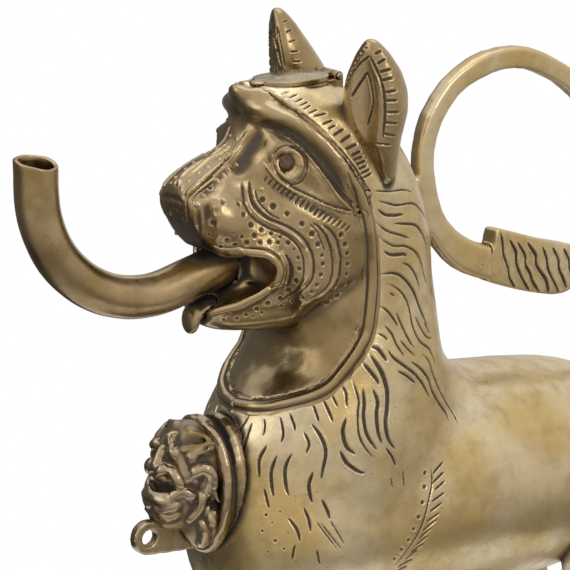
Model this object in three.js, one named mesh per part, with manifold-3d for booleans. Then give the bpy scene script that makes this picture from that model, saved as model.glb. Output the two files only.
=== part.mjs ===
// Lion aquamanile: a hollow cast brass water vessel in the shape of a standing lion.
// Millimetres, +Z up. The lion faces -X, its left flank is towards -Y, and it stands on z = 0.
// It comes apart into its castings: body, face, ruff, ears, spout, legs, tail handle, chest mask and lid.
import * as THREE from "three";
import { mergeVertices } from "three/addons/utils/BufferGeometryUtils.js";
import Module from "manifold-3d";

const wasm = await Module();
wasm.setup();

// Driving sizes of the vessel
const wall = 3.6; // thickness of the cast walls
const seam = 0.3; // gap between two castings that are brazed together
const finish = 0.08; // facets flatter than this are merged
const bellyHeight = 79; // floor to the underside of the belly
const trunkRadius = 49; // half the trunk's breadth
const trunkRise = 52; // half its height
const chestFront = 72; // how far the chest reaches in front of the origin
const rumpBack = 159; // how far the rump reaches behind it
const neckRadius = 40; // at the level of the mouth
const headRise = 123; // from the trunk's axis up to the level of the mouth
const skullRise = 75; // from the level of the mouth up to the crown

// Driving sizes of the face
const muzzleReach = 88.7; // nose tip in front of the origin
const bridgeWidth = 17;
const cheekWidth = 78;
const eyeRingRadius = 7.4;
const eyeRingWire = 1.7;
const pupilRadius = 3.9;
const browWire = 5; // radius of the rolled brow ridge
const ruffBreadth = 4.6;
const ruffProud = 1.1; // how far the ruff stands above the skin

// Driving sizes of the fittings
const spoutRadius = 9.2;
const spoutWall = 1.9;
const spoutBend = 52.4;
const spoutRise = 12; // straight length above the bend
const spoutLead = 48; // straight length from the bend back into the head
const spoutSlope = 14; // degrees that the straight length climbs towards the head
const handleThick = 9.6;
const handleBroad = 8;
const tuftHeight = 30;
const tuftBroad = 10;
const tuftRoot = 82.4; // where the tail ends and its tuft begins, behind the origin
const tuftLength = 65.6;
const lidLength = 34;
const lidBroad = 24;
const lidThick = 2.2;
const hingeRadius = 2.3;
const hingePinRadius = 1.1;
const hingeSlack = 0.12; // of the pin in its bore, all round
const maskHeight = 61;
const maskBroad = 42;
const maskProud = 7; // rim of the chest mask above the chest
const maskDeep = 5.5; // its field below the rim
const maskReach = 24; // snout of the mask in front of its rim
const eyeletRadius = 7.6;
const eyeletHole = 3.7;
const eyeletThick = 4.6;
const earHeight = 63;
const earBroad = 26;
const rightEarRise = 3.3; // the right ear is cast a little taller than the left
const rightEarDepth = 6; // and fuller behind
const legSpread = 31; // middle of a leg from the vessel's middle plane
const pinRadius = 1.6;
const patchLength = 42;
const patchBroad = 27;

// Levels that follow from them
const trunkAxis = bellyHeight + trunkRise;
const mouthLevel = trunkAxis + headRise;
const crown = mouthLevel + skullRise;

const degrees = Math.PI / 180;
const leftSide = -1;
const rightSide = 1;

// Brass in three states: handled bright, dull in the hollows, and the dark inlay of the eyes
const brass = new THREE.MeshStandardMaterial({ color: 0x9c8653, roughness: 0.34, metalness: 1 });
const spoutBrass = new THREE.MeshStandardMaterial({ color: 0x8f7748, roughness: 0.3, metalness: 1 });
const darkBrass = new THREE.MeshStandardMaterial({ color: 0x6b5c3c, roughness: 0.45, metalness: 1 });
const inlay = new THREE.MeshStandardMaterial({ color: 0x5a4a3f, roughness: 0.7, metalness: 0.3 });

// A closed three.js geometry as a solid, turned to face outwards.
function solid(geometry) {
  const bare = geometry.index ? geometry.toNonIndexed() : geometry.clone();
  for (const name of Object.keys(bare.attributes)) if (name !== "position") bare.deleteAttribute(name);
  const merged = mergeVertices(bare, 1e-4);
  const corners = merged.index.array;
  const spots = merged.attributes.position.array;
  const kept = [];
  for (let i = 0; i < corners.length; i += 3) {
    const [a, b, c] = [corners[i], corners[i + 1], corners[i + 2]];
    if (a !== b && b !== c && c !== a) kept.push(a, b, c);
  }
  let volume = 0;
  const at = (i) => new THREE.Vector3(spots[3 * i], spots[3 * i + 1], spots[3 * i + 2]);
  for (let i = 0; i < kept.length; i += 3)
    volume += at(kept[i]).dot(at(kept[i + 1]).cross(at(kept[i + 2])));
  if (volume < 0)
    for (let i = 0; i < kept.length; i += 3) [kept[i + 1], kept[i + 2]] = [kept[i + 2], kept[i + 1]];
  return new wasm.Manifold(
    new wasm.Mesh({ numProp: 3, vertProperties: spots, triVerts: new Uint32Array(kept) }),
  );
}

const joined = (...pieces) => pieces.reduce((whole, piece) => whole.add(piece));

// The largest single body of a solid: slivers that a cut leaves behind are dropped.
function mainBody(shape) {
  return shape.decompose().reduce((best, body) => (body.volume() > best.volume() ? body : best));
}

function mesh(name, shape, material) {
  const made = mainBody(shape).asOriginal().simplify(finish).getMesh();
  const geometry = new THREE.BufferGeometry();
  geometry.setAttribute("position", new THREE.BufferAttribute(made.vertProperties, 3));
  geometry.setIndex(new THREE.BufferAttribute(made.triVerts, 1));
  geometry.computeVertexNormals();
  const node = new THREE.Mesh(geometry, material);
  node.name = name;
  return node;
}

// A skin over rings of points, in order. An open one has its ends closed to their middles, and a
// looped one runs from the last ring back to the first. Walls that face each other are split along
// like diagonals, so that a thin ribbon keeps its thickness where it twists.
function skin(rings, looped = false) {
  const around = rings[0].length;
  const points = rings.flat();
  const faces = [];
  const spans = looped ? rings.length : rings.length - 1;
  for (let r = 0; r < spans; r++)
    for (let i = 0; i < around; i++) {
      const here = r * around;
      const there = ((r + 1) % rings.length) * around;
      const next = (i + 1) % around;
      const [a, b, c, d] = [here + i, here + next, there + next, there + i];
      if (i < around / 2) faces.push(a, b, c, a, c, d);
      else faces.push(a, b, d, b, c, d);
    }
  if (!looped) {
    const middleOf = (ring) =>
      ring.reduce((sum, p) => sum.add(p), new THREE.Vector3()).divideScalar(around);
    const last = (rings.length - 1) * around;
    const first = points.push(middleOf(rings[0])) - 1;
    const final = points.push(middleOf(rings[rings.length - 1])) - 1;
    for (let i = 0; i < around; i++) {
      const next = (i + 1) % around;
      faces.push(first, next, i, final, last + i, last + next);
    }
  }
  const geometry = new THREE.BufferGeometry().setFromPoints(points);
  geometry.setIndex(faces);
  return geometry;
}

// Rows of numbers made smooth: Catmull-Rom through every column, steps spans to each gap.
function smoothRows(rows, steps) {
  const row = (i) => rows[Math.min(Math.max(i, 0), rows.length - 1)];
  const made = [];
  for (let i = 0; i + 1 < rows.length; i++)
    for (let s = 0; s < steps; s++) {
      const t = s / steps;
      const [p, a, b, n] = [row(i - 1), row(i), row(i + 1), row(i + 2)];
      made.push(
        a.map(
          (v, k) =>
            0.5 *
            (2 * v + (b[k] - p[k]) * t + (2 * p[k] - 5 * v + 4 * b[k] - n[k]) * t * t +
              (3 * v - p[k] - 3 * b[k] + n[k]) * t * t * t),
        ),
      );
    }
  made.push(rows[rows.length - 1]);
  return made;
}

const rounded = (value, power) => Math.sign(value) * Math.abs(value) ** power;

// A form whose flat sections are ovals. A row is [x, y, z, half breadth, reach ahead, reach behind].
// The sections of an upright form lie level, and ahead is -X. Those of a long form stand across X,
// and ahead is +Z. A grow above zero swells the form by that much, and one below zero shrinks it.
function ovalForm(rows, { upright, steps = 3, around = 32, grow = 0, corner = 1 }) {
  const rings = smoothRows(rows, steps).map(([x, y, z, broad, ahead, behind]) =>
    Array.from({ length: around }, (_, i) => {
      const angle = (2 * Math.PI * i) / around;
      const lift = Math.sin(angle);
      const reach = Math.max((lift > 0 ? ahead : behind) + grow, 0.2);
      const across = y + Math.max(broad + grow, 0.2) * rounded(Math.cos(angle), corner);
      const along = reach * rounded(lift, corner);
      return upright ? new THREE.Vector3(x - along, across, z) : new THREE.Vector3(x, across, z + along);
    }),
  );
  return solid(skin(rings));
}

function ball(centre, radii, turns = [0, 0, 0], detail = 20) {
  const geometry = new THREE.SphereGeometry(1, detail, Math.round(detail * 0.6));
  geometry.scale(...radii);
  geometry.rotateX(turns[0] * degrees).rotateY(turns[1] * degrees).rotateZ(turns[2] * degrees);
  return solid(geometry.translate(...centre));
}

function block(low, high) {
  const size = high.map((v, i) => v - low[i]);
  const geometry = new THREE.BoxGeometry(...size);
  return solid(geometry.translate(...low.map((v, i) => v + size[i] / 2)));
}

// A round bar between two points, tapered if the radii differ.
function bar(from, to, radius, endRadius = radius, sides = 20) {
  const [a, b] = [new THREE.Vector3(...from), new THREE.Vector3(...to)];
  const way = b.clone().sub(a);
  const geometry = new THREE.CylinderGeometry(endRadius, radius, way.length(), sides);
  geometry.translate(0, way.length() / 2, 0);
  geometry.applyQuaternion(
    new THREE.Quaternion().setFromUnitVectors(new THREE.Vector3(0, 1, 0), way.normalize()),
  );
  return solid(geometry.translate(...from));
}

// A bar of varying thickness along a smooth line. A row is [x, y, z, radius].
function rope(rows, steps = 4, around = 12) {
  const points = smoothRows(rows, steps);
  const line = points.map(([x, y, z]) => new THREE.Vector3(x, y, z));
  let side = new THREE.Vector3(0, 1, 0);
  const rings = points.map(([, , , radius], i) => {
    const way = line[Math.min(i + 1, line.length - 1)].clone().sub(line[Math.max(i - 1, 0)]).normalize();
    side = side.clone().sub(way.clone().multiplyScalar(side.dot(way))).normalize();
    const up = way.clone().cross(side);
    return Array.from({ length: around }, (_, k) => {
      const angle = (2 * Math.PI * k) / around;
      return line[i].clone().addScaledVector(side, radius * Math.cos(angle))
        .addScaledVector(up, radius * Math.sin(angle));
    });
  });
  return solid(skin(rings));
}

// An outline drawn in the side view as [x, z], made a plate that reaches from one y to the other.
function sidePlate(outline, from, to) {
  const shape = new THREE.Shape(outline.map(([x, z]) => new THREE.Vector2(x, z)));
  const geometry = new THREE.ExtrudeGeometry(shape, { depth: to - from, bevelEnabled: false });
  return solid(geometry.rotateX(Math.PI / 2).translate(0, to, 0));
}

// The trunk: a round barrel from the chest to the rump
function trunkForm(grow = 0, around = 24, steps = 2) {
  const r = trunkRadius;
  const h = trunkRise;
  const front = -chestFront;
  const rows = [
    [front + 1 - grow, 0, trunkAxis - 2, 10, 10, 10],
    [front + 4, 0, trunkAxis - 2, 0.48 * r, 0.48 * h, 0.5 * h],
    [front + 13, 0, trunkAxis - 1, 0.78 * r, 0.76 * h, 0.78 * h],
    [front + 31, 0, trunkAxis, 0.97 * r, 0.94 * h, 0.95 * h],
    [front + 60, 0, trunkAxis, 1.02 * r, h + 0.6, h],
    [front + 104, 0, trunkAxis, r, h + 3.2, h],
    [front + 132, 0, trunkAxis, r, h + 3.6, h],
    [rumpBack - 76, 0, trunkAxis, 0.98 * r, h + 1.6, h],
    [rumpBack - 48, 0, trunkAxis, 0.97 * r, h - 2, h - 1],
    [rumpBack - 23, 0, trunkAxis + 1, 0.86 * r, 0.83 * h, 0.86 * h],
    [rumpBack - 9, 0, trunkAxis + 2, 0.62 * r, 0.62 * h, 0.64 * h],
    [rumpBack - 2, 0, trunkAxis + 3, 0.34 * r, 0.36 * h, 0.36 * h],
    [rumpBack + grow, 0, trunkAxis + 3, 5, 6, 5],
  ];
  return ovalForm(rows, { upright: false, steps, around, grow });
}

// The withers: the hollow curve between the nape and the back
function withersForm(grow = 0) {
  const low = trunkAxis;
  const rows = [
    [46, 0, low + 34 - grow, 20, 24, 30],
    [46, 0, low + 44, 28, 26, 34],
    [43, 0, low + 51, 27, 24, 28],
    [39, 0, low + 57, 26, 20, 20.5],
    [35, 0, low + 64, 26, 16, 15.6],
    [31, 0, low + 73, 25, 14, 14.4],
    [28, 0, low + 84 + grow, 20, 10, 11],
  ];
  return ovalForm(rows, { upright: true, steps: 1, around: 20, grow });
}

// The neck and the back of the head, from inside the trunk up to the crown
function neckForm(grow = 0, around = 28) {
  const r = neckRadius;
  const low = trunkAxis;
  const m = mouthLevel;
  const ahead = chestFront - 14;
  const rows = [
    [-14, 0, low - 34 - grow, 30, ahead - 10, 40],
    [-14, 0, low - 14, 46, ahead, 56],
    [-12, 0, low + 22, 49, ahead + 1, 62],
    [-9, 0, low + 44, 48.6, ahead - 1, 58],
    [-7, 0, low + 54, 47.8, ahead - 5, 55],
    [-5, 0, low + 63, 46.8, ahead - 11, 51.6],
    [-3, 0, low + 72, r + 5.4, r - 1.2, 48.6],
    [-2.5, 0, low + 82, r + 4, r - 6, r + 6],
    [-0.5, 0, m - 31, r + 1.2, r - 4, r + 3.2],
    [0, 0, m - 14, r - 0.4, r - 1, r],
    [-0.5, 0, m + 2, r - 0.8, r - 1, r - 0.4],
    [-4, 0, m + 19, r - 1, r - 2, r - 1.6],
    [-8, 0, m + 32, r - 2, r - 4, r - 3],
    [-12, 0, m + 45, r - 5, r - 5, r - 7],
    [-17, 0, m + 57, r - 11.5, r - 9, r - 12],
    [-22, 0, m + 67, r - 19, r - 13, r - 18],
    [-25, 0, crown - 2 + grow, 11, 18, 13],
  ];
  return ovalForm(rows, { upright: true, steps: 1, around, grow });
}

// Half outlines of the head, from the middle of its top to the middle of its underside.
// A row is the section's x at its top, how far it leans back below, then half breadth and height.
function headRows() {
  const tip = -muzzleReach;
  const b = bridgeWidth / 2;
  const c = cheekWidth / 2;
  return [
    [tip, 0.3, 0, 31, b - 2, 30, 11, 25, 13, 14, 12, 2, 9, -16, 0, -20],
    [tip + 2, 0.3, 0, 34, b - 0.4, 33, 14, 26, 17.5, 14, 17, 2, 12, -19, 0, -25],
    [tip + 8, 0.3, 0, 38.5, b + 0.3, 37.4, 16, 28, 22, 14, 21.5, 1, 16, -20, 0, -29],
    [tip + 16, 0.3, 0, 42.6, b, 41.4, 16.5, 31, 24, 14, 24.5, 0, 20, -20, 0, -31],
    [tip + 25, 0.26, 0, 45.8, b - 0.3, 44.8, 16, 35, 26, 15, 28, 0, 23, -19, 0, -32],
    [tip + 31, 0.18, 0, 50, b - 0.3, 49, 16.5, 40, 28.5, 17, 30.5, -2, 26, -20, 0, -33],
    [tip + 37, 0.08, 0, 60, b + 1, 58, 18, 46, 30, 22, 33, -3, 29, -20, 0, -34],
    [tip + 43, 0, 0, 69, b + 6, 66, 21.5, 54, 31, 26, 35, -3, 32, -20, 0, -36],
    [tip + 53, 0, 0, 73.5, b + 11, 68, 27, 54, 35.6, 26, 37, 0, 33, -16, 0, -32],
    [tip + 68, 0, 0, skullRise, b + 13, 67, 32, 53, c - 0.5, 22, c - 1, 2, 33, -12, 0, -24],
    [tip + 84, 0, 0, 66, b + 4, 62, 28, 48, c - 2, 22, c - 2.4, 4, 32, -10, 0, -20],
  ];
}

function headForm(grow = 0, around = 28, steps = 2) {
  const rings = smoothRows(headRows(), steps).map(([x, lean, ...half], place, all) => {
    const side = [];
    for (let i = 0; i < half.length; i += 2) side.push([half[i], half[i + 1]]);
    const middle = (side[0][1] + side[side.length - 1][1]) / 2;
    const tall = (side[0][1] - side[side.length - 1][1]) / 2;
    const broad = Math.max(...side.map(([y]) => y));
    const turn = side.concat(side.slice(1, -1).reverse().map(([y, z]) => [-y, z]));
    const loop = new THREE.CatmullRomCurve3(
      turn.map(([y, z]) => new THREE.Vector3(0, y, z)), true, "catmullrom", 0.5,
    );
    const push = place === 0 ? -grow : place === all.length - 1 ? grow : 0;
    return Array.from({ length: around }, (_, i) => {
      const p = loop.getPoint(i / around);
      const y = p.y * (1 + grow / broad);
      const z = middle + (p.z - middle) * (1 + grow / tall);
      return new THREE.Vector3(x + push + lean * (side[0][1] - z), y, mouthLevel + z);
    });
  });
  return solid(skin(rings));
}

// Forelock: the brow runs out over the nose in a short blunt point
function forelockForm(grow = 0) {
  const rows = [
    [-58.6 - grow, 0, mouthLevel + 72.5, 2.4, 1.6, 3.4],
    [-55.6, 0, mouthLevel + 71.5, 6, 3, 6],
    [-50, 0, mouthLevel + 69.5, 12, 4.6, 9],
    [-40, 0, mouthLevel + 68, 18, 6.4, 12],
    [-30, 0, mouthLevel + 67, 20, 7.4, 12],
  ];
  return ovalForm(rows, { upright: false, steps: 1, around: 16, grow });
}

// Lower jaw: juts out under the spout as far as the nose does above it
function jawForm(grow = 0) {
  const rows = [
    [-77 - grow, 0, mouthLevel - 22.5, 5, 2.4, 3],
    [-75, 0, mouthLevel - 23, 10, 3.6, 4.6],
    [-69, 0, mouthLevel - 23.5, 15, 4.6, 6.4],
    [-60, 0, mouthLevel - 23, 19.5, 6, 8.4],
    [-48, 0, mouthLevel - 22, 24, 8, 10.5],
    [-36, 0, mouthLevel - 22, 26, 8, 11],
  ];
  return ovalForm(rows, { upright: false, steps: 1, around: 16, grow });
}

const wholeForm = (grow = 0) =>
  joined(
    trunkForm(grow),
    withersForm(grow),
    neckForm(grow),
    headForm(grow),
    forelockForm(grow),
    jawForm(grow),
  );

// The seam between face and mane: over the brow, down the cheek and round under the throat.
// A row is a point on the left side's skin, the way the skin faces there, and the ruff's share of
// its full breadth. The seam is a plain gap where that share is none.
function seamRows() {
  const m = mouthLevel;
  return [
    [-50, 0, m + 73.5, -0.35, 0, 0.94, 0],
    [-45.5, -14, m + 69.5, -0.3, -0.45, 0.84, 0],
    [-36.5, -25.5, m + 60.5, -0.25, -0.75, 0.6, 0],
    [-26, -35, m + 44, -0.1, -0.93, 0.35, 0],
    [-17, -38.5, m + 26, -0.05, -0.99, 0.15, 0.4],
    [-12.5, -38.5, m + 8, 0, -1, 0, 1],
    [-11.8, -38.4, m - 11, 0, -1, 0, 1],
    [-13.5, -38.5, m - 26, 0, -1, 0.05, 1],
    [-18.5, -38, m - 38, -0.1, -0.98, 0.15, 1],
    [-28, -35.5, m - 49.5, -0.4, -0.85, 0.35, 1],
    [-39, -30, m - 57, -0.6, -0.65, 0.45, 1],
    [-49.5, -17, m - 62.5, -0.75, -0.4, 0.5, 1],
    [-55.5, 0, m - 65.5, -0.8, 0, 0.6, 1],
  ];
}

// A ribbon that stands on edge across the skin all along the seam: as a cutter it parts the castings,
// and as the ruff it fills the cut, with a gap on both sides.
function seamRibbon(cutter) {
  const left = seamRows();
  const mirrorRow = ([x, y, z, nx, ny, nz, share]) => [x, -y, z, nx, -ny, nz, share];
  const right = left.slice(1, -1).map(mirrorRow).reverse();
  const rows = smoothRows([...left, ...right, left[0]], 2).slice(0, -1);
  const count = rows.length;
  const points = rows.map(([x, y, z]) => new THREE.Vector3(x, y, z));
  const rings = rows.map(([, , , nx, ny, nz, share], i) => {
    const out = new THREE.Vector3(nx, ny, nz).normalize();
    const way = points[(i + 1) % count].clone().sub(points[(i - 1 + count) % count]);
    const across = way.cross(out).normalize();
    const half = Math.max(share, 0) * (ruffBreadth / 2) + (cutter ? seam : 0);
    return [[1, 1], [-1, 1], [-1, -1], [1, -1]].map(([a, b]) =>
      points[i].clone().addScaledVector(across, a * half).addScaledVector(out, b > 0 ? 11 : -24),
    );
  });
  const isRuff = (ring, i) => rows[i][6] > 0.1;
  return cutter ? solid(skin(rings, true)) : solid(skin(rings.filter(isRuff)));
}

// Water space: trunk, neck and head are open to each other inside
function cavityForm() {
  const m = mouthLevel;
  const head = ovalForm(
    [
      [-45, 0, m + 12, 24, 44, 24],
      [-36, 0, m + 12, 30, 50, 28],
      [-24, 0, m + 12, 33.5, 52, 30],
      [-10, 0, m + 12, 32, 48, 30],
    ],
    { upright: false, steps: 1, around: 16 },
  );
  return joined(trunkForm(-wall, 16, 1), neckForm(-wall, 16), head);
}

// Mouth: an almond-shaped gape that is open to the front and both cheeks
const gapeBack = -54;

function gapeOutline(grow) {
  const upper = mouthLevel + 5.5 + grow;
  const lower = mouthLevel - 19.5 - grow;
  const back = gapeBack + grow;
  const curve = new THREE.SplineCurve([
    new THREE.Vector2(-98, upper - 1.5),
    new THREE.Vector2(-76, upper),
    new THREE.Vector2(-61, upper + 1.6),
    new THREE.Vector2(back - 1.2, upper - 3),
    new THREE.Vector2(back, mouthLevel - 2.5),
    new THREE.Vector2(back - 2.5, mouthLevel - 8 - 0.6 * grow),
    new THREE.Vector2(-65, lower + 6),
    new THREE.Vector2(-77, lower + 0.6),
    new THREE.Vector2(-98, lower),
  ]);
  return curve.getPoints(16).map((p) => [p.x, p.y]);
}

function mouthForm() {
  const gape = sidePlate(gapeOutline(0), -60, 60);
  const core = ovalForm(
    [
      [-66, 0, mouthLevel - 8, 5, 20, 18],
      [-60, 0, mouthLevel - 8, 13, 20, 20],
      [-52, 0, mouthLevel - 8, 18, 22, 20],
      [-40, 0, mouthLevel - 8, 24, 24, 22],
    ],
    { upright: false, steps: 1, around: 16 },
  );
  return gape.subtract(core);
}

// Lips: a rolled edge that follows the gape from the nose round the corner to the chin
function lipForm(side) {
  const m = mouthLevel;
  const rows = [
    [-77.5, side * 5, m + 6.6, 1.8],
    [-74, side * 13.5, m + 7.4, 2.1],
    [-66, side * 21.5, m + 8.6, 2.3],
    [-58, side * 27, m + 8.2, 2.4],
    [-53.4, side * 30, m + 3.6, 2.4],
    [-53.8, side * 29.4, m - 4, 2.4],
    [-59, side * 25.4, m - 10.6, 2.3],
    [-67, side * 19, m - 16.4, 2.2],
    [-74, side * 11, m - 20, 2.1],
    [-76.4, side * 4.5, m - 21.4, 1.8],
  ];
  return rope(rows, 1, 6);
}

// Small teeth along the inside of the lower lip, the same on both sides
function teethForm() {
  const count = 4;
  const teeth = [];
  for (const side of [leftSide, rightSide])
    for (let i = 0; i < count; i++) {
      const x = -71 + i * 4.4;
      const foot = mouthLevel - 20 + i * 1.7;
      const across = side * (9.4 + i * 2.7);
      teeth.push(bar([x, across, foot], [x, across * 0.97, foot + 5.4], 1.9, 0.6, 5));
    }
  return joined(...teeth);
}

// Rolled brow ridge, from the forelock round the outside of the eye to the cheek
function browForm(side) {
  const rows = [
    [-53.5, side * 1, mouthLevel + 64, 3],
    [-50, side * 9, mouthLevel + 64, browWire],
    [-44.5, side * 18, mouthLevel + 60.5, browWire],
    [-36, side * 27, mouthLevel + 53, browWire],
    [-28, side * 33, mouthLevel + 43.5, browWire],
    [-21.5, side * 36.6, mouthLevel + 33, browWire - 0.8],
    [-17.5, side * 38.4, mouthLevel + 22, 2.4],
  ];
  return rope(rows, 2, 8);
}

// Where an eye sits, and the way it looks
const eyeAt = (side) => [-44.5, side * 22, mouthLevel + 43.5];
const eyeTurn = (side) => side * 42;

// Eye: two rolled lids that meet behind the eye, a round ring, and a bored seat for the pupil
function eyeForms(side) {
  const [x, y, z] = eyeAt(side);
  const m = mouthLevel;
  const lids = [
    [
      [-53, side * 13, m + 44, 1.4],
      [-48.5, side * 19.5, m + 51.5, 2],
      [-41, side * 26.5, m + 50, 2.2],
      [-32, side * 33, m + 40, 2],
      [-25, side * 37, m + 28, 1.4],
    ],
    [
      [-53, side * 13, m + 43, 1.4],
      [-49, side * 20.5, m + 34.5, 1.8],
      [-41, side * 28.5, m + 30, 1.8],
      [-32, side * 34.6, m + 28, 1.6],
      [-25, side * 37, m + 27, 1.3],
    ],
  ].map((rows) => rope(rows, 2, 6));
  const ringGeometry = new THREE.TorusGeometry(eyeRingRadius - eyeRingWire, eyeRingWire, 6, 16);
  const turn = -eyeTurn(side);
  ringGeometry.rotateY(Math.PI / 2).rotateZ(turn * degrees);
  const out = new THREE.Vector3(-Math.cos(turn * degrees), -Math.sin(turn * degrees), 0);
  const face = new THREE.Vector3(x, y, z).addScaledVector(out, 3.3);
  const ring = solid(ringGeometry.translate(face.x, face.y, face.z));
  const spot = (ahead) => face.clone().addScaledVector(out, ahead).toArray();
  const socket = ball(spot(-3), [6, 6.6, 6.6], [0, 0, turn], 10);
  const seat = bar(spot(-4.5), spot(6), pupilRadius + seam, pupilRadius + seam, 14);
  const pupil = bar(spot(-4.5 + seam), spot(-1.4), pupilRadius, pupilRadius, 14);
  return { body: joined(ring, socket, ...lids), seat, pupil };
}

// Where the spout's straight lead meets its bend, in front of the mouth
const spoutTurn = [-88.62, mouthLevel - 8.84];

// Middle of the spout's bend. The tube climbs at a slope into the head, and straight up to its rim.
const bendCentre = [
  spoutTurn[0] - spoutBend * Math.sin(spoutSlope * degrees),
  spoutTurn[1] + spoutBend * Math.cos(spoutSlope * degrees),
];

// A round bar along the spout's line, longer at both ends by the given amounts
function spoutBar(radius, extra = 0) {
  const [cx, cz] = bendCentre;
  const slope = spoutSlope * degrees;
  const lead = spoutLead + extra;
  const rings = [];
  const ring = (x, z, angle) =>
    Array.from({ length: 16 }, (_, k) => {
      const t = (2 * Math.PI * k) / 16;
      const out = radius * Math.cos(t);
      return new THREE.Vector3(x + out * Math.cos(angle), radius * Math.sin(t), z + out * Math.sin(angle));
    });
  const start = 1.5 * Math.PI + slope;
  rings.push(ring(spoutTurn[0] + lead * Math.cos(slope), spoutTurn[1] + lead * Math.sin(slope), start));
  const spans = 11;
  for (let i = 0; i <= spans; i++) {
    const angle = start - ((Math.PI / 2 + slope) * i) / spans;
    rings.push(ring(cx + spoutBend * Math.cos(angle), cz + spoutBend * Math.sin(angle), angle));
  }
  rings.push(ring(cx - spoutBend, cz + spoutRise + extra, Math.PI));
  return solid(skin(rings));
}

// Ear: a pointed cup that looks forward and outward, on the side of the skull
function earForm(side) {
  const leaf = (inset, ahead, around) => {
    const h = earHeight + (side === rightSide ? rightEarRise : 0);
    const w = earBroad / 2;
    const full = side === rightSide ? rightEarDepth : 0;
    const rows = [
      [0.5, 0, -2 - inset, w * 0.24, 4, 5],
      [0.5, 0, h * 0.12, w * 0.42, 5.2, 7 + full * 0.5],
      [0.5, 0, h * 0.3, w * 0.68, 6, 11 + full],
      [0.5, 0, h * 0.48, w * 0.92, 6, 15.4 + full],
      [0.3, 0, h * 0.62, w, 5.8, 14.2 + full * 0.5],
      [-0.4, 0, h * 0.76, w * 0.88, 5.2, 12],
      [-1.4, 0, h * 0.89, w * 0.6, 3.9, 7.4],
      [-2.2, 0, h * 0.97, w * 0.3, 2.4, 4],
      [-2.6, 0, h - inset * 2.2, w * 0.12, 1.2, 2],
    ];
    return ovalForm(
      rows.map(([x, y, z, broad, front, back]) => [x - ahead, y, z, broad, front, ahead ? 7 : back]),
      { upright: true, steps: 1, around, grow: -inset },
    );
  };
  const hollow = leaf(3, 7.4, 14).subtract(block([-30, -30, -10], [30, 30, 9]));
  return leaf(0, 0, 18)
    .subtract(hollow)
    .rotate([0, -2, 0])
    .rotate([side * 3, 0, 0])
    .rotate([0, 0, side * -22])
    .translate([-4, side * 36.2, mouthLevel + 31]);
}

// A paw with four toes, flat underneath. Its heel is at x and it points forward.
function pawForm(x, y, length, broad) {
  const high = 17;
  const pad = ovalForm(
    [
      [x, y, high * 0.45, broad * 0.3, high * 0.3, high * 0.4],
      [x - length * 0.12, y, high * 0.5, broad * 0.46, high * 0.5, high * 0.6],
      [x - length * 0.5, y, high * 0.42, broad * 0.5, high * 0.58, high * 0.6],
      [x - length * 0.82, y, high * 0.36, broad * 0.46, high * 0.4, high * 0.5],
    ],
    { upright: false, steps: 1, around: 14 },
  );
  const toes = [-1.5, -0.5, 0.5, 1.5].map((place) => {
    const reach = length * (Math.abs(place) > 1 ? 0.86 : 0.93);
    const toe = [length * 0.2, broad * 0.135, high * 0.4];
    return ball([x - reach, y + place * broad * 0.25, high * 0.34], toe, [0, 8, 0], 8);
  });
  const floor = block([x - 2 * length, y - 40, -30], [x + 40, y + 40, 0]);
  return joined(pad, ...toes).subtract(floor);
}

function forelegForm(side) {
  const y = side * legSpread;
  const rows = [
    [-34, y + side * 5, bellyHeight + 60, 10, 13, 14],
    [-34, y + side * 4.6, bellyHeight + 44, 14, 18, 19],
    [-35, y + side * 3, bellyHeight + 24, 15.6, 19, 20],
    [-36, y + side * 1.2, bellyHeight + 6, 14.5, 17, 17.5],
    [-37, y, bellyHeight - 12, 13, 14.5, 14],
    [-39, y, bellyHeight - 34, 11.6, 12.2, 12],
    [-40.5, y, bellyHeight - 54, 11.2, 11.8, 11.5],
    [-42, y, 9, 12, 13, 12],
  ];
  const leg = ovalForm(rows, { upright: true, steps: 1, around: 14 });
  return joined(leg, pawForm(-28, y, 46, 30));
}

function hindlegForm(side) {
  const y = side * (legSpread + 1);
  const rows = [
    [rumpBack - 32, y + side * 2, bellyHeight + 64, 8, 13, 14],
    [rumpBack - 31, y + side * 4.4, bellyHeight + 48, 14, 23, 23],
    [rumpBack - 30, y + side * 5.6, bellyHeight + 26, 16.6, 27, 26],
    [rumpBack - 31, y + side * 3.6, bellyHeight + 4, 15.5, 24, 23],
    [rumpBack - 28, y + side * 1.2, bellyHeight - 14, 13.5, 18.5, 17],
    [rumpBack - 20, y, bellyHeight - 30, 11.5, 13.5, 13.5],
    [rumpBack - 13.5, y, bellyHeight - 44, 10.4, 11.5, 12],
    [rumpBack - 13.5, y, bellyHeight - 58, 10.2, 10.5, 11],
    [rumpBack - 17, y, 9, 11, 12, 11],
  ];
  const leg = ovalForm(rows, { upright: true, steps: 1, around: 14 });
  return joined(leg, pawForm(rumpBack - 3, y, 46, 29));
}

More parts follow.
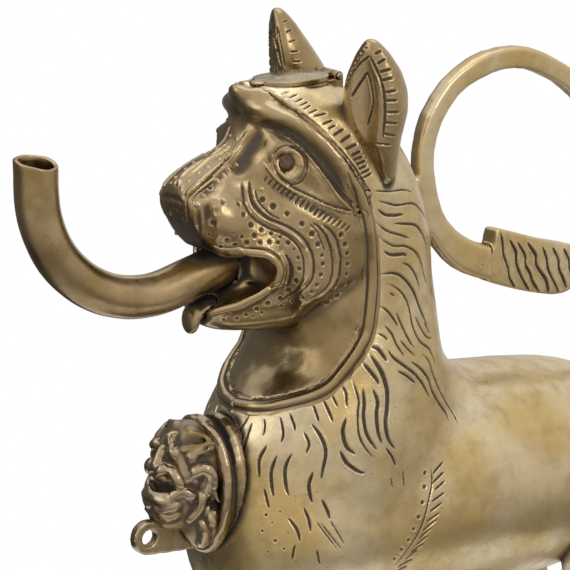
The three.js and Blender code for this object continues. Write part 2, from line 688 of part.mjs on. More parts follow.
// The tail's middle line in the side view and its thickness: it climbs from the rump, bends forward
// over the back, turns down along the nape and runs back under itself into the tuft.
function tailLine() {
  const m = mouthLevel;
  const t = handleThick;
  return [
    [rumpBack - 15, trunkAxis + 20, t + 6.4],
    [rumpBack - 6, trunkAxis + 42, t + 3],
    [rumpBack - 2, trunkAxis + 64, t + 1],
    [rumpBack - 1, trunkAxis + 88, t + 0.2],
    [rumpBack - 1.6, m - 12, t - 0.2],
    [rumpBack - 4.4, m + 11, t - 0.2],
    [rumpBack - 10.4, m + 30, t - 0.2],
    [rumpBack - 19, m + 44, t - 0.2],
    [rumpBack - 30, m + 54, t - 0.2],
    [117, m + 61.4, t],
    [103, m + 67.4, t + 0.2],
    [88, m + 69, t + 0.2],
    [73, m + 66, t],
    [59.5, m + 58.6, t - 0.6],
    [49.2, m + 46.5, t - 0.8],
    [44.8, m + 32, t - 0.8],
    [45.4, m + 17, t - 0.2],
    [49.6, m + 2.6, t + 0.8],
    [57, m - 9, t + 2.8],
    [67, m - 17.4, t + 4.8],
    [78, m - 22.4, t + 5.8],
    [90, m - 25.6, t + 5.8],
  ];
}

// The band is a rounded rectangle in section, a little thicker where it runs into the tuft
function bandForm(line, broad, grow = 0) {
  const rows = smoothRows(line, 2);
  const rings = rows.map(([x, z, deep], i) => {
    const a = rows[Math.max(i - 1, 0)];
    const b = rows[Math.min(i + 1, rows.length - 1)];
    const way = new THREE.Vector2(b[0] - a[0], b[1] - a[1]).normalize();
    return Array.from({ length: 8 }, (_, k) => {
      const angle = (2 * Math.PI * (k + 0.5)) / 8;
      const out = (deep / 2 + grow) * rounded(Math.cos(angle), 0.3) * 1.03;
      const across = (broad / 2 + grow) * rounded(Math.sin(angle), 0.3) * 1.03;
      return new THREE.Vector3(x - way.y * out, across, z + way.x * out);
    });
  });
  return solid(skin(rings));
}

// Tuft of the tail: a flat leaf with a blunt front, whose sides are combed into S-shaped locks
function tuftForm() {
  const m = mouthLevel;
  const locks = 10;
  const levels = 6;
  const rows = smoothRows(
    [
      [0, m - 20.4, 0.92],
      [0.045, m - 21, 0.98],
      [0.22, m - 25, 1],
      [0.435, m - 29.6, 0.98],
      [0.65, m - 33, 0.94],
      [0.82, m - 33.8, 0.7],
      [0.94, m - 32, 0.36],
      [1, m - 30, 0.1],
    ].map(([along, z, tall]) => [tuftRoot + along * tuftLength, z, tall * tuftHeight]),
    4,
  );
  const rings = rows.map(([x, z, tall], i) => {
    const t = i / (rows.length - 1);
    return Array.from({ length: 2 * levels }, (_, k) => {
      const near = k < levels;
      const up = near ? -1 + (2 * (k + 0.5)) / levels : 1 - (2 * (k - levels + 0.5)) / levels;
      const wave = Math.cos(2 * Math.PI * (t * locks + 0.25 * Math.sin(up * 2)));
      const comb = t > 0.04 && t < 0.96 ? 0.5 * wave * (1 - 0.5 * Math.abs(up)) : 0;
      const half = (tuftBroad / 2) * (1 - 0.25 * up ** 4) * (1 - 0.5 * t * t) + comb;
      return new THREE.Vector3(x + 2.4 * up, (near ? -1 : 1) * half, z + (up * tall) / 2);
    });
  });
  return solid(skin(rings));
}

// Lid of the filling hole, let into the crown between the ears, hinged at its back edge
const lidCentre = -27;
const lidSeat = crown - 3.4;
const hingeAt = [lidCentre + lidLength / 2 + hingeRadius + 0.6, lidSeat + 1.2];
const leafHalf = 3.2; // half breadth of the lid's own knuckle
const knuckleEnd = 7.6;

function lidPlate(length, broad, from, to) {
  const rows = [from, to].map((z) => [lidCentre, 0, z, broad / 2, length / 2, length / 2]);
  return ovalForm(rows, { upright: true, steps: 1, around: 28, corner: 0.8 });
}

const hingeBore = () => {
  const [x, z] = hingeAt;
  const radius = hingePinRadius + hingeSlack;
  return bar([x, -9, z], [x, 9, z], radius, radius, 14);
};

function lidForm() {
  const [hx, hz] = hingeAt;
  const bottom = lidSeat + seam;
  const dome = ball([lidCentre, 0, lidSeat - 1], [lidLength / 2 - 1.5, lidBroad / 2 - 1.5, 4.8]);
  const upper = dome.intersect(block([-80, -30, lidSeat + 1], [40, 30, lidSeat + 20]));
  const plate = lidPlate(lidLength, lidBroad, bottom, bottom + lidThick);
  const knuckle = bar([hx, -leafHalf, hz], [hx, leafHalf, hz], hingeRadius, hingeRadius, 16);
  const leaf = block([hx - 5, -leafHalf, bottom], [hx, leafHalf, bottom + lidThick]);
  const front = lidCentre - lidLength / 2;
  const thumb = ball([front - 0.6, 0, lidSeat + 1.6], [3.2, 4.2, 1.1], [0, 0, 0], 12);
  return joined(plate, upper, knuckle, leaf, thumb).subtract(hingeBore());
}

function pinForm() {
  const [x, z] = hingeAt;
  const end = knuckleEnd + 0.5;
  const shank = bar([x, -end, z], [x, end, z], hingePinRadius, hingePinRadius, 14);
  const heads = [leftSide, rightSide].map((side) =>
    bar([x, side * (knuckleEnd + 0.3), z], [x, side * (knuckleEnd + 1.3), z], 1.7, 1.2, 14),
  );
  return joined(shank, ...heads);
}

// Seat of the lid: a collar let into the crown, with the two outer hinge knuckles at its back
function collarForm() {
  const [hx, hz] = hingeAt;
  const outer = lidPlate(lidLength - 1, lidBroad - 1, crown - 12, lidSeat);
  const hole = lidPlate(lidLength - 8, lidBroad - 7, crown - 30, lidSeat + 5);
  const knuckles = [leftSide, rightSide].map((side) => {
    const ends = [side * (leafHalf + seam), side * knuckleEnd].sort((a, b) => a - b);
    const barrel = bar([hx, ends[0], hz], [hx, ends[1], hz], hingeRadius, hingeRadius, 16);
    const foot = block([hx - 6, ends[0], crown - 12], [hx + hingeRadius, ends[1], hz]);
    const relief = block([hx - 12, ends[0] - 1, lidSeat], [hx - hingeRadius, ends[1] + 1, hz + 5]);
    return joined(barrel, foot.subtract(relief));
  });
  const recess = block(
    [hx - hingeRadius - 0.5, -leafHalf - seam, lidSeat - 2],
    [hx + 4, leafHalf + seam, crown],
  );
  return joined(outer, ...knuckles).subtract(hole).subtract(hingeBore()).subtract(recess);
}

// The hole in the crown that takes the collar, and room above it for the lid and its hinge
function collarSocket() {
  const [hx] = hingeAt;
  const grow = 2 * seam;
  const reach = knuckleEnd + 1.3 + seam;
  return joined(
    lidPlate(lidLength - 1 + grow, lidBroad - 1 + grow, crown - 20, crown + 9),
    lidPlate(lidLength + 3, lidBroad + 3, lidSeat, crown + 9),
    block([hx - 7, -reach, crown - 14], [hx + hingeRadius + seam, reach, crown + 9]),
    block([-52, -5.5, lidSeat], [lidCentre, 5.5, crown + 9]),
  );
}

// The chest mask: an oval plate with a rolled rim, and a beast's head with open jaws on it
const maskMiddle = trunkAxis + 25;
const maskFace = -chestFront - maskProud + 2; // x of the rim's front

function ovalDisc(broad, tall, from, to, around = 28) {
  const rows = [from, to].map((x) => [x, 0, maskMiddle, broad / 2, tall / 2, tall / 2]);
  return ovalForm(rows, { upright: false, steps: 1, around });
}

// A ring of round wire bent to the mask's oval, its radius swelled by the grow
function maskRim(wire, grow) {
  const around = 28;
  const rings = Array.from({ length: around }, (_, i) => {
    const angle = (2 * Math.PI * i) / around;
    return Array.from({ length: 8 }, (_, j) => {
      const turn = (2 * Math.PI * j) / 8;
      const out = (wire + grow) * Math.cos(turn) - wire;
      return new THREE.Vector3(
        maskFace + wire - (wire + grow) * Math.sin(turn),
        (maskBroad / 2 + out) * Math.cos(angle),
        maskMiddle + (maskHeight / 2 + out) * Math.sin(angle),
      );
    });
  });
  return solid(skin(rings, true));
}

function maskPlateForm(grow = 0) {
  const wire = 2.4;
  const outer = 2 * grow - 0.4;
  const inner = -2 * grow - 4 * wire;
  const floor = maskFace + maskDeep - grow;
  const wallPart = ovalDisc(maskBroad + outer, maskHeight + outer, maskFace + wire, maskFace + 40);
  const field = ovalDisc(maskBroad + inner, maskHeight + inner, maskFace - 10, floor);
  return joined(maskRim(wire, grow), wallPart).subtract(field);
}

// Half sizes of the mask that the beast's relief is drawn for. It grows with the mask's outline.
const beastField = [21, 30.5];

function beastForm() {
  const at = (proud, y, up, radius) => [maskFace - proud, y, up, radius];
  const tip = maskFace - maskReach;
  const parts = [
    ball([maskFace - 3, 0, 10], [14, 15, 18], [0, 0, 0], 14),
    ball([tip + 14, 0, -3], [12.5, 11.5, 14], [0, 0, 0], 14),
    ball([maskFace + 1, 0, -12], [13, 15, 15], [0, 0, 0], 12),
    rope([at(13, 0, 21, 2.6), at(17.4, 0, 14, 2.6), [tip + 4.2, 0, 8.5, 3.2]], 2, 6),
  ];
  for (const side of [leftSide, rightSide]) {
    const beside = (proud, y, up, radius) => at(proud, side * y, up, radius);
    const brow = [
      beside(17, 2, 15, 2),
      beside(15.4, 6, 18, 2.4),
      beside(12, 10.5, 19.6, 2),
      beside(6, 14, 21.4, 1.7),
      beside(1.5, 16.5, 22, 1.4),
    ];
    const nostril = [
      beside(20.6, 1.6, 9.4, 1.8),
      beside(19, 5.4, 10.8, 2),
      beside(16.6, 8.8, 8, 2.1),
      beside(14.6, 10.6, 4.4, 1.8),
    ];
    const cheek = [beside(11.4, 11.4, 17, 2), beside(11, 12.6, 11, 2.3), beside(10.6, 12.6, 6, 2)];
    const curl = [
      beside(8.6, 13.6, 10, 1.9),
      beside(5.8, 15.4, 12.8, 2.2),
      beside(3, 16.2, 9.6, 2.2),
      beside(2.8, 15.4, 4.6, 1.9),
      beside(2, 15.6, -0.5, 1.7),
      beside(0, 16.4, -3.4, 1.4),
    ];
    const lock = [
      beside(6, 13.4, 1, 1.8),
      beside(6.4, 12, -6, 2),
      beside(8, 10, -12, 1.7),
      beside(7, 7.6, -17.5, 1.3),
    ];
    const strand = [
      beside(2, 14.6, -5.5, 1.6),
      beside(1.8, 14.6, -10.5, 1.9),
      beside(1.4, 12.6, -17, 1.6),
      beside(0.6, 9.6, -22, 1.2),
    ];
    const tuft = [beside(7.4, 3, 26, 1.8), beside(6.8, 9, 25, 2), beside(2, 14, 23.5, 1.5)];
    for (const rows of [brow, nostril, cheek, curl, lock, strand, tuft]) parts.push(rope(rows, 1, 6));
  }
  const lip = [
    at(11.6, -11.6, 0.6, 1.9),
    at(15.6, -9.6, 0.2, 2.5),
    at(19.4, -6.2, -2.2, 2.8),
    [tip + 2.6, 0, -2.8, 2.8],
    at(19.4, 6.2, -2.2, 2.8),
    at(15.6, 9.6, 0.2, 2.5),
    at(11.6, 11.6, 0.6, 1.9),
  ];
  const chin = ball([tip + 10, 0, -10.5], [10, 8.5, 6], [0, 0, 0], 10);
  const bite = ball([tip + 4, 0, 2.8], [8, 9, 2.4], [0, 0, 0], 12);
  return joined(...parts, chin)
    .subtract(bite)
    .add(rope(lip, 1, 6))
    .scale([1, maskBroad / 2 / beastField[0], maskHeight / 2 / beastField[1]])
    .translate([0, 0, maskMiddle]);
}

// Eyelet under the beast's chin, bored across, for a ring or chain
const eyeletAt = [maskFace - maskReach - 1.4, maskMiddle - maskHeight / 2 + 12];

function eyeletForm(grow = 0) {
  const [x, z] = eyeletAt;
  const half = eyeletThick / 2 + grow;
  const radius = eyeletRadius + grow;
  const back = maskFace + 3;
  const disc = bar([x, -half, z], [x, half, z], radius, radius, 20);
  const arm = sidePlate(
    [
      [x, z - radius],
      [back, maskMiddle - maskHeight / 2 + 2 - grow],
      [back, maskMiddle - maskHeight / 2 + 13.5 + grow],
      [x + 4, z + radius - 1.5],
    ],
    -half,
    half,
  );
  const hole = bar([x, -9, z], [x, 9, z], eyeletHole, eyeletHole, 20);
  return grow ? joined(disc, arm) : joined(disc, arm).subtract(hole);
}

// Tongue: lolls out over the lower lip under the spout, with a rounded tip
function tongueForm(grow = 0) {
  const z = mouthLevel;
  const rows = [
    [-62 + grow, 0, z - 19.5, 6, 2.4, 3],
    [-68, 0, z - 18.5, 7, 2.4, 3],
    [-74, 0, z - 18.8, 7.2, 2.6, 3.4],
    [-78.6, 0, z - 22, 6.2, 2.6, 5],
  ];
  const root = ovalForm(rows, { upright: false, steps: 2, around: 14, grow });
  const lap = ball([-79, 0, z - 24], [2.8 + grow, 6 + grow, 7 + grow], [0, 8, 0], 12);
  return joined(root, lap);
}

// Pins that hold the tail to the nape and to the rump
const pinBar = (from, to, grow = 0) => bar(from, to, pinRadius + grow, pinRadius + grow, 14);
const napePin = (grow = 0) => pinBar([50, 0, mouthLevel + 12], [35, 0, mouthLevel + 9], grow);
const rumpPin = (grow = 0) =>
  pinBar([rumpBack - 2.2 + grow, 0, trunkAxis + 32], [rumpBack - 22, 0, trunkAxis + 26], grow);

function build() {
  const outer = wholeForm();
  const cavity = cavityForm();
  const near = wholeForm(seam);
  const gape = mouthForm();
  const spoutHole = spoutBar(spoutRadius + seam, 4);
  const eyes = [leftSide, rightSide].map(eyeForms);
  const brows = joined(browForm(leftSide), browForm(rightSide));
  const patchBox = (grow) =>
    block(
      [34 - grow, -patchBroad / 2 - grow, -10],
      [34 + patchLength + grow, patchBroad / 2 + grow, trunkAxis - trunkRise / 2],
    );

  const socket = collarSocket();
  const shell = joined(outer, brows, eyes[0].body, eyes[1].body)
    .subtract(gape)
    .add(joined(lipForm(leftSide), lipForm(rightSide), teethForm()))
    .subtract(cavity)
    .subtract(spoutHole)
    .subtract(joined(eyes[0].seat, eyes[1].seat))
    .subtract(tongueForm(seam))
    .subtract(socket)
    .subtract(patchBox(seam))
    .subtract(napePin(seam))
    .subtract(rumpPin(seam))
    .subtract(seamRibbon(true));
  const [body, face] = shell.decompose().sort((a, b) => b.volume() - a.volume());
  const patch = trunkForm().subtract(trunkForm(-wall)).intersect(patchBox(0));
  const ruff = wholeForm(ruffProud).intersect(seamRibbon(false)).subtract(cavity);

  const spout = spoutBar(spoutRadius).subtract(spoutBar(spoutRadius - spoutWall, 5));
  const tongue = tongueForm().subtract(spoutHole);

  const ears = [leftSide, rightSide].map((side) => earForm(side).subtract(near));
  const forelegs = [leftSide, rightSide].map((side) => forelegForm(side).subtract(near));
  const hindlegs = [leftSide, rightSide].map((side) => hindlegForm(side).subtract(near));

  const band = bandForm(tailLine(), handleBroad)
    .add(block([30, -3.3, mouthLevel - 6], [47.5, 3.3, mouthLevel + 21]))
    .subtract(near)
    .subtract(napePin(seam))
    .subtract(rumpPin(seam));
  const tuft = tuftForm().subtract(bandForm(tailLine(), handleBroad, seam));

  const plate = maskPlateForm().subtract(near);
  const plateBed = maskPlateForm(seam);
  const beast = beastForm().subtract(near).subtract(plateBed).subtract(eyeletForm(seam));
  const eyelet = eyeletForm().subtract(near).subtract(plateBed);

  return [
    mesh("body_shell", body, brass),
    mesh("face_shell", face, brass),
    mesh("ruff_band", ruff, brass),
    mesh("belly_patch", patch, brass),
    mesh("ear_left", ears[0], brass),
    mesh("ear_right", ears[1], brass),
    mesh("pupil_left", eyes[0].pupil, inlay),
    mesh("pupil_right", eyes[1].pupil, inlay),
    mesh("tongue", tongue, darkBrass),
    mesh("spout_tube", spout, spoutBrass),
    mesh("foreleg_left", forelegs[0], brass),
    mesh("foreleg_right", forelegs[1], brass),
    mesh("hindleg_left", hindlegs[0], brass),
    mesh("hindleg_right", hindlegs[1], brass),
    mesh("tail_handle", band, brass),
    mesh("tail_tuft", tuft, brass),
    mesh("nape_pin", napePin(), brass),
    mesh("rump_pin", rumpPin(), brass),
    mesh("mask_plate", plate, darkBrass),
    mesh("mask_beast", beast, darkBrass),
    mesh("mask_eyelet", eyelet, darkBrass),
    mesh("lid_collar", collarForm(), brass),
    mesh("filler_lid", lidForm(), brass),
    mesh("lid_pin", pinForm(), darkBrass),
  ];
}

const lion = new THREE.Group();
lion.add(...build());
export default lion;
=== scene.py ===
"""Lion aquamanile: a water vessel cast in brass, chased with a mane and worn by handling.

Everything is in metres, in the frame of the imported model: the lion looks along -X, its left flank
faces -Y, and it stands on the ground at z = 0.
"""
import math

import bmesh
import bpy
import numpy as np
from mathutils import Matrix, Vector, kdtree
from mathutils.bvhtree import BVHTree


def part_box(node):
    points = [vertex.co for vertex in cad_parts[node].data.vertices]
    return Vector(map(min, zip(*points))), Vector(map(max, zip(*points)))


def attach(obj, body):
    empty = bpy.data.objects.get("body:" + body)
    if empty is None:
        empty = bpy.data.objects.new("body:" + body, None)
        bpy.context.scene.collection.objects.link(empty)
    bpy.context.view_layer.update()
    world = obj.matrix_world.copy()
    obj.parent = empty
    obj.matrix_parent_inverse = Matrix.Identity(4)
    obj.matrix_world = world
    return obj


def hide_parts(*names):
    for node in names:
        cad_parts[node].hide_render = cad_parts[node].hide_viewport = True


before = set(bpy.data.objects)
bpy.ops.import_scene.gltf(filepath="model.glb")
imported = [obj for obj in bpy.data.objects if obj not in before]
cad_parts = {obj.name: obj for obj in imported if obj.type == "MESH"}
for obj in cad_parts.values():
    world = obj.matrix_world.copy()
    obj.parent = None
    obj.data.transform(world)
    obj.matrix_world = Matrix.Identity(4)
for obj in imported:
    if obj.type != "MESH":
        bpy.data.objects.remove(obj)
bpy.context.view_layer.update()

bl_info = {
    "name": "Lion Aquamanile",
    "version": (1, 0, 0),
    "blender": (4, 5, 0),
    "location": "View3D > Sidebar > Lion Aquamanile",
    "description": "Dresses a packed lion aquamanile in chased and worn cast brass",
    "category": "Object",
}

MM = 0.001
LEFT, RIGHT = -1, 1
LEGS = ("foreleg_left", "foreleg_right", "hindleg_left", "hindleg_right")
# Height of the middle of the mask on the chest
MASK_HEIGHT = 156 * MM

# The camera that the lines below were measured through: where it aims, and one pixel at that point
AIM = Vector((-30 * MM, 0, 237 * MM))
AZIMUTH, ELEVATION = math.radians(-36), math.radians(15)
DISTANCE = 1.3
PIXEL = 0.43 * MM
FRAME = 570

# Lines on the mane, each with its width and its points, in pixels of the view
MANE = (
    (2.6, (374, 191), (390, 191.5), (400, 190), (408, 190.5), (414, 193)),
    (3, (376, 200.5), (388, 203.5), (395, 205.3), (402, 204.8), (413, 203.5), (420, 209), (427, 220)),
    (4, (378, 209.5), (386, 215), (396, 215.5), (404, 214)),
    (3, (375, 221), (382, 227.5), (390, 232.3), (402, 235.7), (411, 239)),
    (3.6, (392, 223.5), (404, 224), (416, 225.5), (423, 235), (427, 248), (428, 256)),
    (3, (375, 234), (384, 241), (394, 246), (406, 246.5), (416, 252.5), (421, 262), (425, 278), (428, 286)),
    (4.4, (384, 251.5), (392, 255), (404, 254.5), (407, 256)),
    (3, (401, 262.5), (410, 266.5), (416, 276), (420, 288)),
    (4, (378, 275), (393, 273.3), (403, 277.5), (413, 290), (420, 308), (425, 320), (428, 327)),
    (
        3, (384, 283.5), (393, 286), (402, 293), (408.5, 305), (413, 326), (420, 341), (430, 350),
        (437, 368),
    ),
    (2.6, (390, 293), (395, 296.5)),
    (3, (379, 306.5), (387, 310.5), (395, 321), (398, 327)),
    (3, (384, 325), (392, 334), (397, 345), (405, 357)),
    (3, (396, 312), (401, 323), (408, 338), (415, 349)),
    (2.6, (378, 333.5), (384, 336.5), (388, 340.5)),
    (2.6, (400, 340), (407, 348), (416, 357)),
    (3, (415, 316), (421, 328), (427, 337), (433, 338)),
    (2.2, (424, 322), (430, 333)),
    (4.6, (371, 346.5), (378, 349), (384, 356.5), (387, 361)),
    (
        4, (387, 349), (394, 358), (404, 365.5), (414, 373), (421, 381), (427, 392),
        (430, 398.5),
    ),
    (
        4.2, (410, 361), (420, 368), (428, 378), (432, 390), (439, 403), (446, 413), (449, 421),
    ),
    (3, (420, 352), (429, 361), (433, 374), (439, 389), (447, 404), (454, 415), (458, 424)),
    (
        6, (368, 352), (376, 363), (383, 375), (387.5, 391), (387.5, 408), (386, 424), (389, 440),
        (396, 450),
    ),
    (4.4, (362, 362), (370, 371), (377, 380), (379, 385)),
    (3.6, (398, 371), (407, 376), (416, 383.5)),
    (3, (351, 377), (356, 390), (359, 402), (358, 415), (359, 433), (364, 446), (375, 459.5)),
    (3.4, (341, 384), (346, 393), (347, 407)),
    (3, (332, 395), (338, 407)),
    (4.6, (363, 388), (364.5, 404), (364, 418), (367, 434), (374, 446), (377.5, 450)),
    (5.2, (373, 389), (378, 402), (377, 415), (378.5, 432), (382, 444)),
    (2, (424, 186), (430, 205), (433, 225)),
    (2, (430, 285), (437, 307)),
)

# Shorter chisel cuts on the chest and the shoulder, in the same way
CHEST = (
    (3.4, (249, 415), (240, 431), (236, 448)),
    (3.4, (252, 422), (246, 440), (243, 458)),
    (3, (264, 418), (264.5, 427), (263, 436)),
    (3.6, (280, 416), (283, 433), (281, 443)),
    (3.4, (289, 412), (294, 425), (295, 431)),
    (4, (267, 445), (259, 460), (259, 478)),
    (4, (277, 455), (271, 472), (272, 490), (274, 497)),
    (4.2, (292, 453), (285, 469), (286, 487), (289, 496)),
    (3.4, (264, 489), (267, 502), (269, 508)),
    (3.6, (304, 432), (309, 444), (306, 454)),
    (3.4, (313, 404), (317, 416), (319, 422)),
    (3.6, (323, 399), (330, 414), (333, 422)),
    (4.4, (311, 423), (321, 437), (326, 452), (323, 470), (321, 480)),
    (5, (346, 418), (343, 433), (347, 447), (355.5, 454.5)),
    (5, (340, 451), (347, 463), (359, 471.5), (365, 473)),
    (3.6, (386, 448), (392, 456), (396, 466)),
    (4.4, (313, 472), (309, 487), (312, 503)),
    (3.8, (322, 500), (328, 512), (330, 519)),
    (3.6, (304, 508), (309, 520), (311, 532)),
    (3.6, (288, 518), (297, 530), (300, 542)),
    (3.2, (295, 545), (292, 560)),
    (3, (317, 550), (320, 565)),
    (2, (315, 520), (338, 550)),
    (2, (320, 522), (342, 550)),
    (2, (330, 520), (345, 545)),
    (2.4, (403, 471), (404.5, 487)),
    (2, (391, 478), (393, 488)),
    (2.6, (431, 466), (432, 483), (429, 500), (424, 520), (416, 538), (405, 553), (392, 568)),
    (3, (433, 474), (443, 462)),
    (3, (433, 483), (444, 472)),
    (3, (435, 490), (445, 481)),
    (3, (432, 502), (444.7, 492.5)),
    (3, (430, 512), (442, 503)),
    (3, (427, 522), (439.7, 513)),
    (3, (423, 531), (437.5, 519)),
    (3, (419, 539), (431.7, 528)),
    (3, (415, 546), (429, 535)),
    (3, (410, 553), (425, 543)),
    (3, (405, 560), (418, 550)),
    (3, (398, 567), (413, 559)),
    (3, (394, 573), (407.5, 566)),
)

# Oval punch marks before the shoulder's feather, and rough pits of the casting: x, y, radius
CHEST_DOTS = (
    (425, 473, 2.6), (424.5, 487, 2.6), (422.5, 502.5, 2.6), (418.7, 517, 2.6), (414, 529, 2.4),
    (408.7, 540, 2.4), (402, 549.5, 2.4), (394.7, 558.7, 2.2), (266, 515, 1.8), (272, 523, 1.4),
    (262, 531, 1.6), (280, 512, 1.4), (275, 541, 2), (284, 549, 1.6), (268, 552, 1.4), (288, 533, 1.2),
)

# Groove round the lip, and groove along the brow, which runs on over the head
LIP_GROOVE = (
    3.4, (203, 254), (220, 253), (235, 251), (247, 249.5), (258, 249), (268, 250), (276, 254),
    (281, 260), (284, 268), (284, 277), (281, 284), (276, 290), (268, 296), (258, 301), (245, 306),
    (232, 310), (218, 313), (205, 316),
)
BROW_GROOVE = (
    4.2, (300, 112), (308, 119), (325, 133), (342, 150), (350, 160), (357, 170), (364, 182),
    (368, 195), (370, 208), (372, 218), (374, 228),
)

# Grooves of the face: these two, the bands on the cheek, the nose, and beside the bridge
FACE_GROOVES = (
    LIP_GROOVE,
    (2.6, (286, 255), (290, 262), (292, 270), (291, 278), (287, 287)),
    (
        3, (242, 180), (243, 192), (245, 203), (249, 212), (255, 219), (262, 224), (271, 229),
        (280, 232.5), (288, 237), (295, 243), (300, 250), (303, 258), (304, 268), (303, 277), (300, 284),
        (294, 291), (287, 296), (280, 301),
    ),
    (
        3.4, (249, 180), (250, 190), (252, 200), (257, 208), (263, 214), (270, 219), (279, 223),
        (288, 227), (296, 232), (303, 238), (308, 245), (312, 253), (314, 262), (314, 272), (312, 280),
        (307, 287), (300, 292), (292, 297),
    ),
    (2.2, (255, 190), (258, 200), (263, 207), (270, 214), (280, 219)),
    (
        3, (312, 222), (320, 228), (326, 236), (330, 246), (332, 256), (333, 266), (332, 276),
        (329, 285), (323, 292), (315, 297), (307, 300),
    ),
    (
        3.2, (322, 224), (330, 230), (336, 238), (339, 248), (341, 258), (341, 268), (340, 277),
        (336, 286), (331, 293), (323, 298), (315, 301),
    ),
    (2, (310, 224), (317, 232), (321, 241), (325, 251)),
    (2.2, (186, 207), (187, 200), (191, 195), (197, 189), (209, 178), (224, 163), (232, 155)),
    (1.8, (192, 206), (193, 200), (197, 194), (204, 189), (213, 182)),
    BROW_GROOVE,
    (3.6, (350, 200), (356, 210), (361, 222), (365, 238)),
    (3.6, (266, 127), (280, 131), (294, 139), (306, 150), (318, 164), (332, 182), (350, 203)),
    (2.8, (288, 185), (300, 191), (315, 198), (330, 205), (352, 211)),
    (2.4, (273, 155), (278, 149), (286, 145), (296, 147), (304, 154), (308, 163), (307, 173)),
    (2.4, (307, 173), (301, 182), (291, 184.5), (282, 179), (276, 171), (273, 162)),
    (2.6, (262, 77), (280, 73.5), (300, 72), (316, 76), (331, 83)),
)

# Soft folds down the front of the nose
FOLDS = (
    (4, (187, 207), (189, 225), (196, 245), (203, 257)),
    (5, (198, 207), (199, 228), (204, 250)),
    (3, (170, 202), (173, 222), (181, 243), (187, 252)),
    (2.6, (178, 203), (181, 222), (189, 243)),
    (5, (166, 198), (175, 198), (183, 204)),
)

# Broad forms of the face, with their width, their height or depth in mm, and their points
FACE_FORMS = (
    (18, -2.6, (258, 124), (280, 130), (300, 141), (318, 158), (333, 178), (346, 202)),
    (26, -2.2, (258, 134), (248, 150), (242, 162), (236, 172)),
    (12, -0.8, (268, 184), (290, 197), (315, 209), (345, 221)),
    (17, 1.1, (246, 106), (268, 109), (290, 119), (311, 134), (331, 152), (348, 173), (360, 199)),
    (32, 1.1, (290, 165), (296, 169)),
    (44, 2.8, (217, 212), (228, 216)),
    (12, -1.0, (206, 207), (206, 230), (208, 250)),
    (12, -0.8, (236, 160), (222, 174), (208, 187), (199, 198)),
    (9, 0.7, (250, 131), (243, 141), (230, 157), (212, 172), (196, 185), (186, 196)),
)

# Middle line of the band that frames the face, from below the brow to the front of the chest
RUFF = (
    (347, 168), (353, 178), (359, 191), (364, 205), (369, 220), (372, 243), (372.5, 265),
    (372.4, 287), (369.5, 319), (366, 335), (358, 350.5), (346.5, 367), (333.5, 382), (321, 391),
    (300, 398.3), (270, 404.8), (250, 405.2), (232, 402),
)

# Middle line of the rolled lip, from under the nose round the corner of the mouth to the chin
LIP = (
    (206, 255.5), (220, 255.8), (240, 254.2), (252, 253.2), (262, 254), (270, 257.5), (275.5, 264),
    (277.5, 272), (274.5, 281), (266, 289), (254, 297), (238, 303.5), (222, 307.5), (208, 311),
)

# Ridges of the face: lids, the ring of the eye, and the wires between the grooves
FACE_RIDGES = (
    (3, (274, 128), (288, 137), (301, 147), (312, 160), (325, 177), (338, 196), (352, 210)),
    (3, (264, 162), (274, 176), (288, 187.5), (300, 194), (325, 204), (352, 213)),
    (
        3.6, (281, 156), (290, 150.5), (299, 155), (302.5, 164), (299, 174), (290, 179), (281, 173),
        (277.5, 164), (281, 156),
    ),
    (2.6, (288, 98), (303, 113), (322, 128), (340, 145), (350, 157), (360, 171), (367, 186), (371, 200)),
    (2.6, (281, 252), (285, 258), (288, 266), (288, 275), (285, 285)),
    (2.4, (247, 190), (248.5, 201), (253, 210), (263, 219), (280, 227.5), (296, 237), (306, 249)),
    (2.4, (306, 249), (309.5, 262), (308, 277), (300, 288)),
    (2.2, (321, 226), (330, 240), (336.5, 256), (336, 276), (328, 290), (316, 299)),
    (2.4, (189, 206), (190, 199), (195, 192.5), (204, 186), (216, 177)),
    (3, (172.4, 184), (189, 174.8), (208, 159), (226.3, 144)),
    (4, (250, 131), (243, 141), (230, 157), (212, 172), (196, 185), (186, 196)),
)

# Line across the white of the eye
EYE_WHITE = ((282, 152), (300, 168), (320, 185), (342, 204))

# Short strokes beside the brow
BROW_STROKES = (
    (3, (282, 94), (289, 91)), (3, (289, 98), (297, 94)), (3, (295, 102), (303, 98)),
    (3, (299, 106), (308, 101.5)), (3, (303, 109), (311, 105)), (3, (309, 113), (318, 109)),
    (3.4, (314, 116), (327, 113)), (3.4, (323, 124), (333, 120)), (3.4, (329, 128.5), (336, 125)),
    (3.6, (334, 135), (344, 129)), (3.6, (341, 142), (351, 135)), (3.6, (346, 149), (357, 144)),
    (3.4, (352, 155), (361, 151)), (3.2, (354, 159.5), (363, 156)), (3.2, (357, 164), (366, 160)),
    (3, (359, 169), (367, 165)), (3, (361, 173.5), (370, 169)), (3, (363, 178), (372, 173)),
)

# Short strokes under the lower lid, and before the ear
LID_STROKES = (
    (2.6, (264, 181), (267, 177)), (2.6, (268, 184.5), (272, 180)), (2.6, (273, 188), (277, 183)),
    (2.6, (277, 191), (281, 186)), (2.6, (281, 193.5), (285, 189)), (2.6, (285.5, 197), (290, 191.5)),
    (2.8, (290, 200), (295, 194)), (2.8, (295, 203), (300, 197)), (2.8, (300, 206), (305, 200)),
    (2.8, (305, 209), (309.5, 203)), (2.8, (309.5, 212), (314, 206)), (2.8, (314, 215), (319, 209)),
    (2.8, (318.5, 217.5), (323, 212)), (2.8, (323, 220), (328, 214)), (2.8, (328, 222), (332, 216.5)),
    (2.8, (332.5, 224.5), (337, 219)), (2.8, (337, 227), (341.5, 221)), (2.8, (341.5, 229), (346, 223.5)),
    (2.8, (346, 231), (350.5, 226)),
    (2, (345, 73), (351, 70)), (2, (348, 66), (355, 62)), (2, (351, 59), (357, 55)),
)

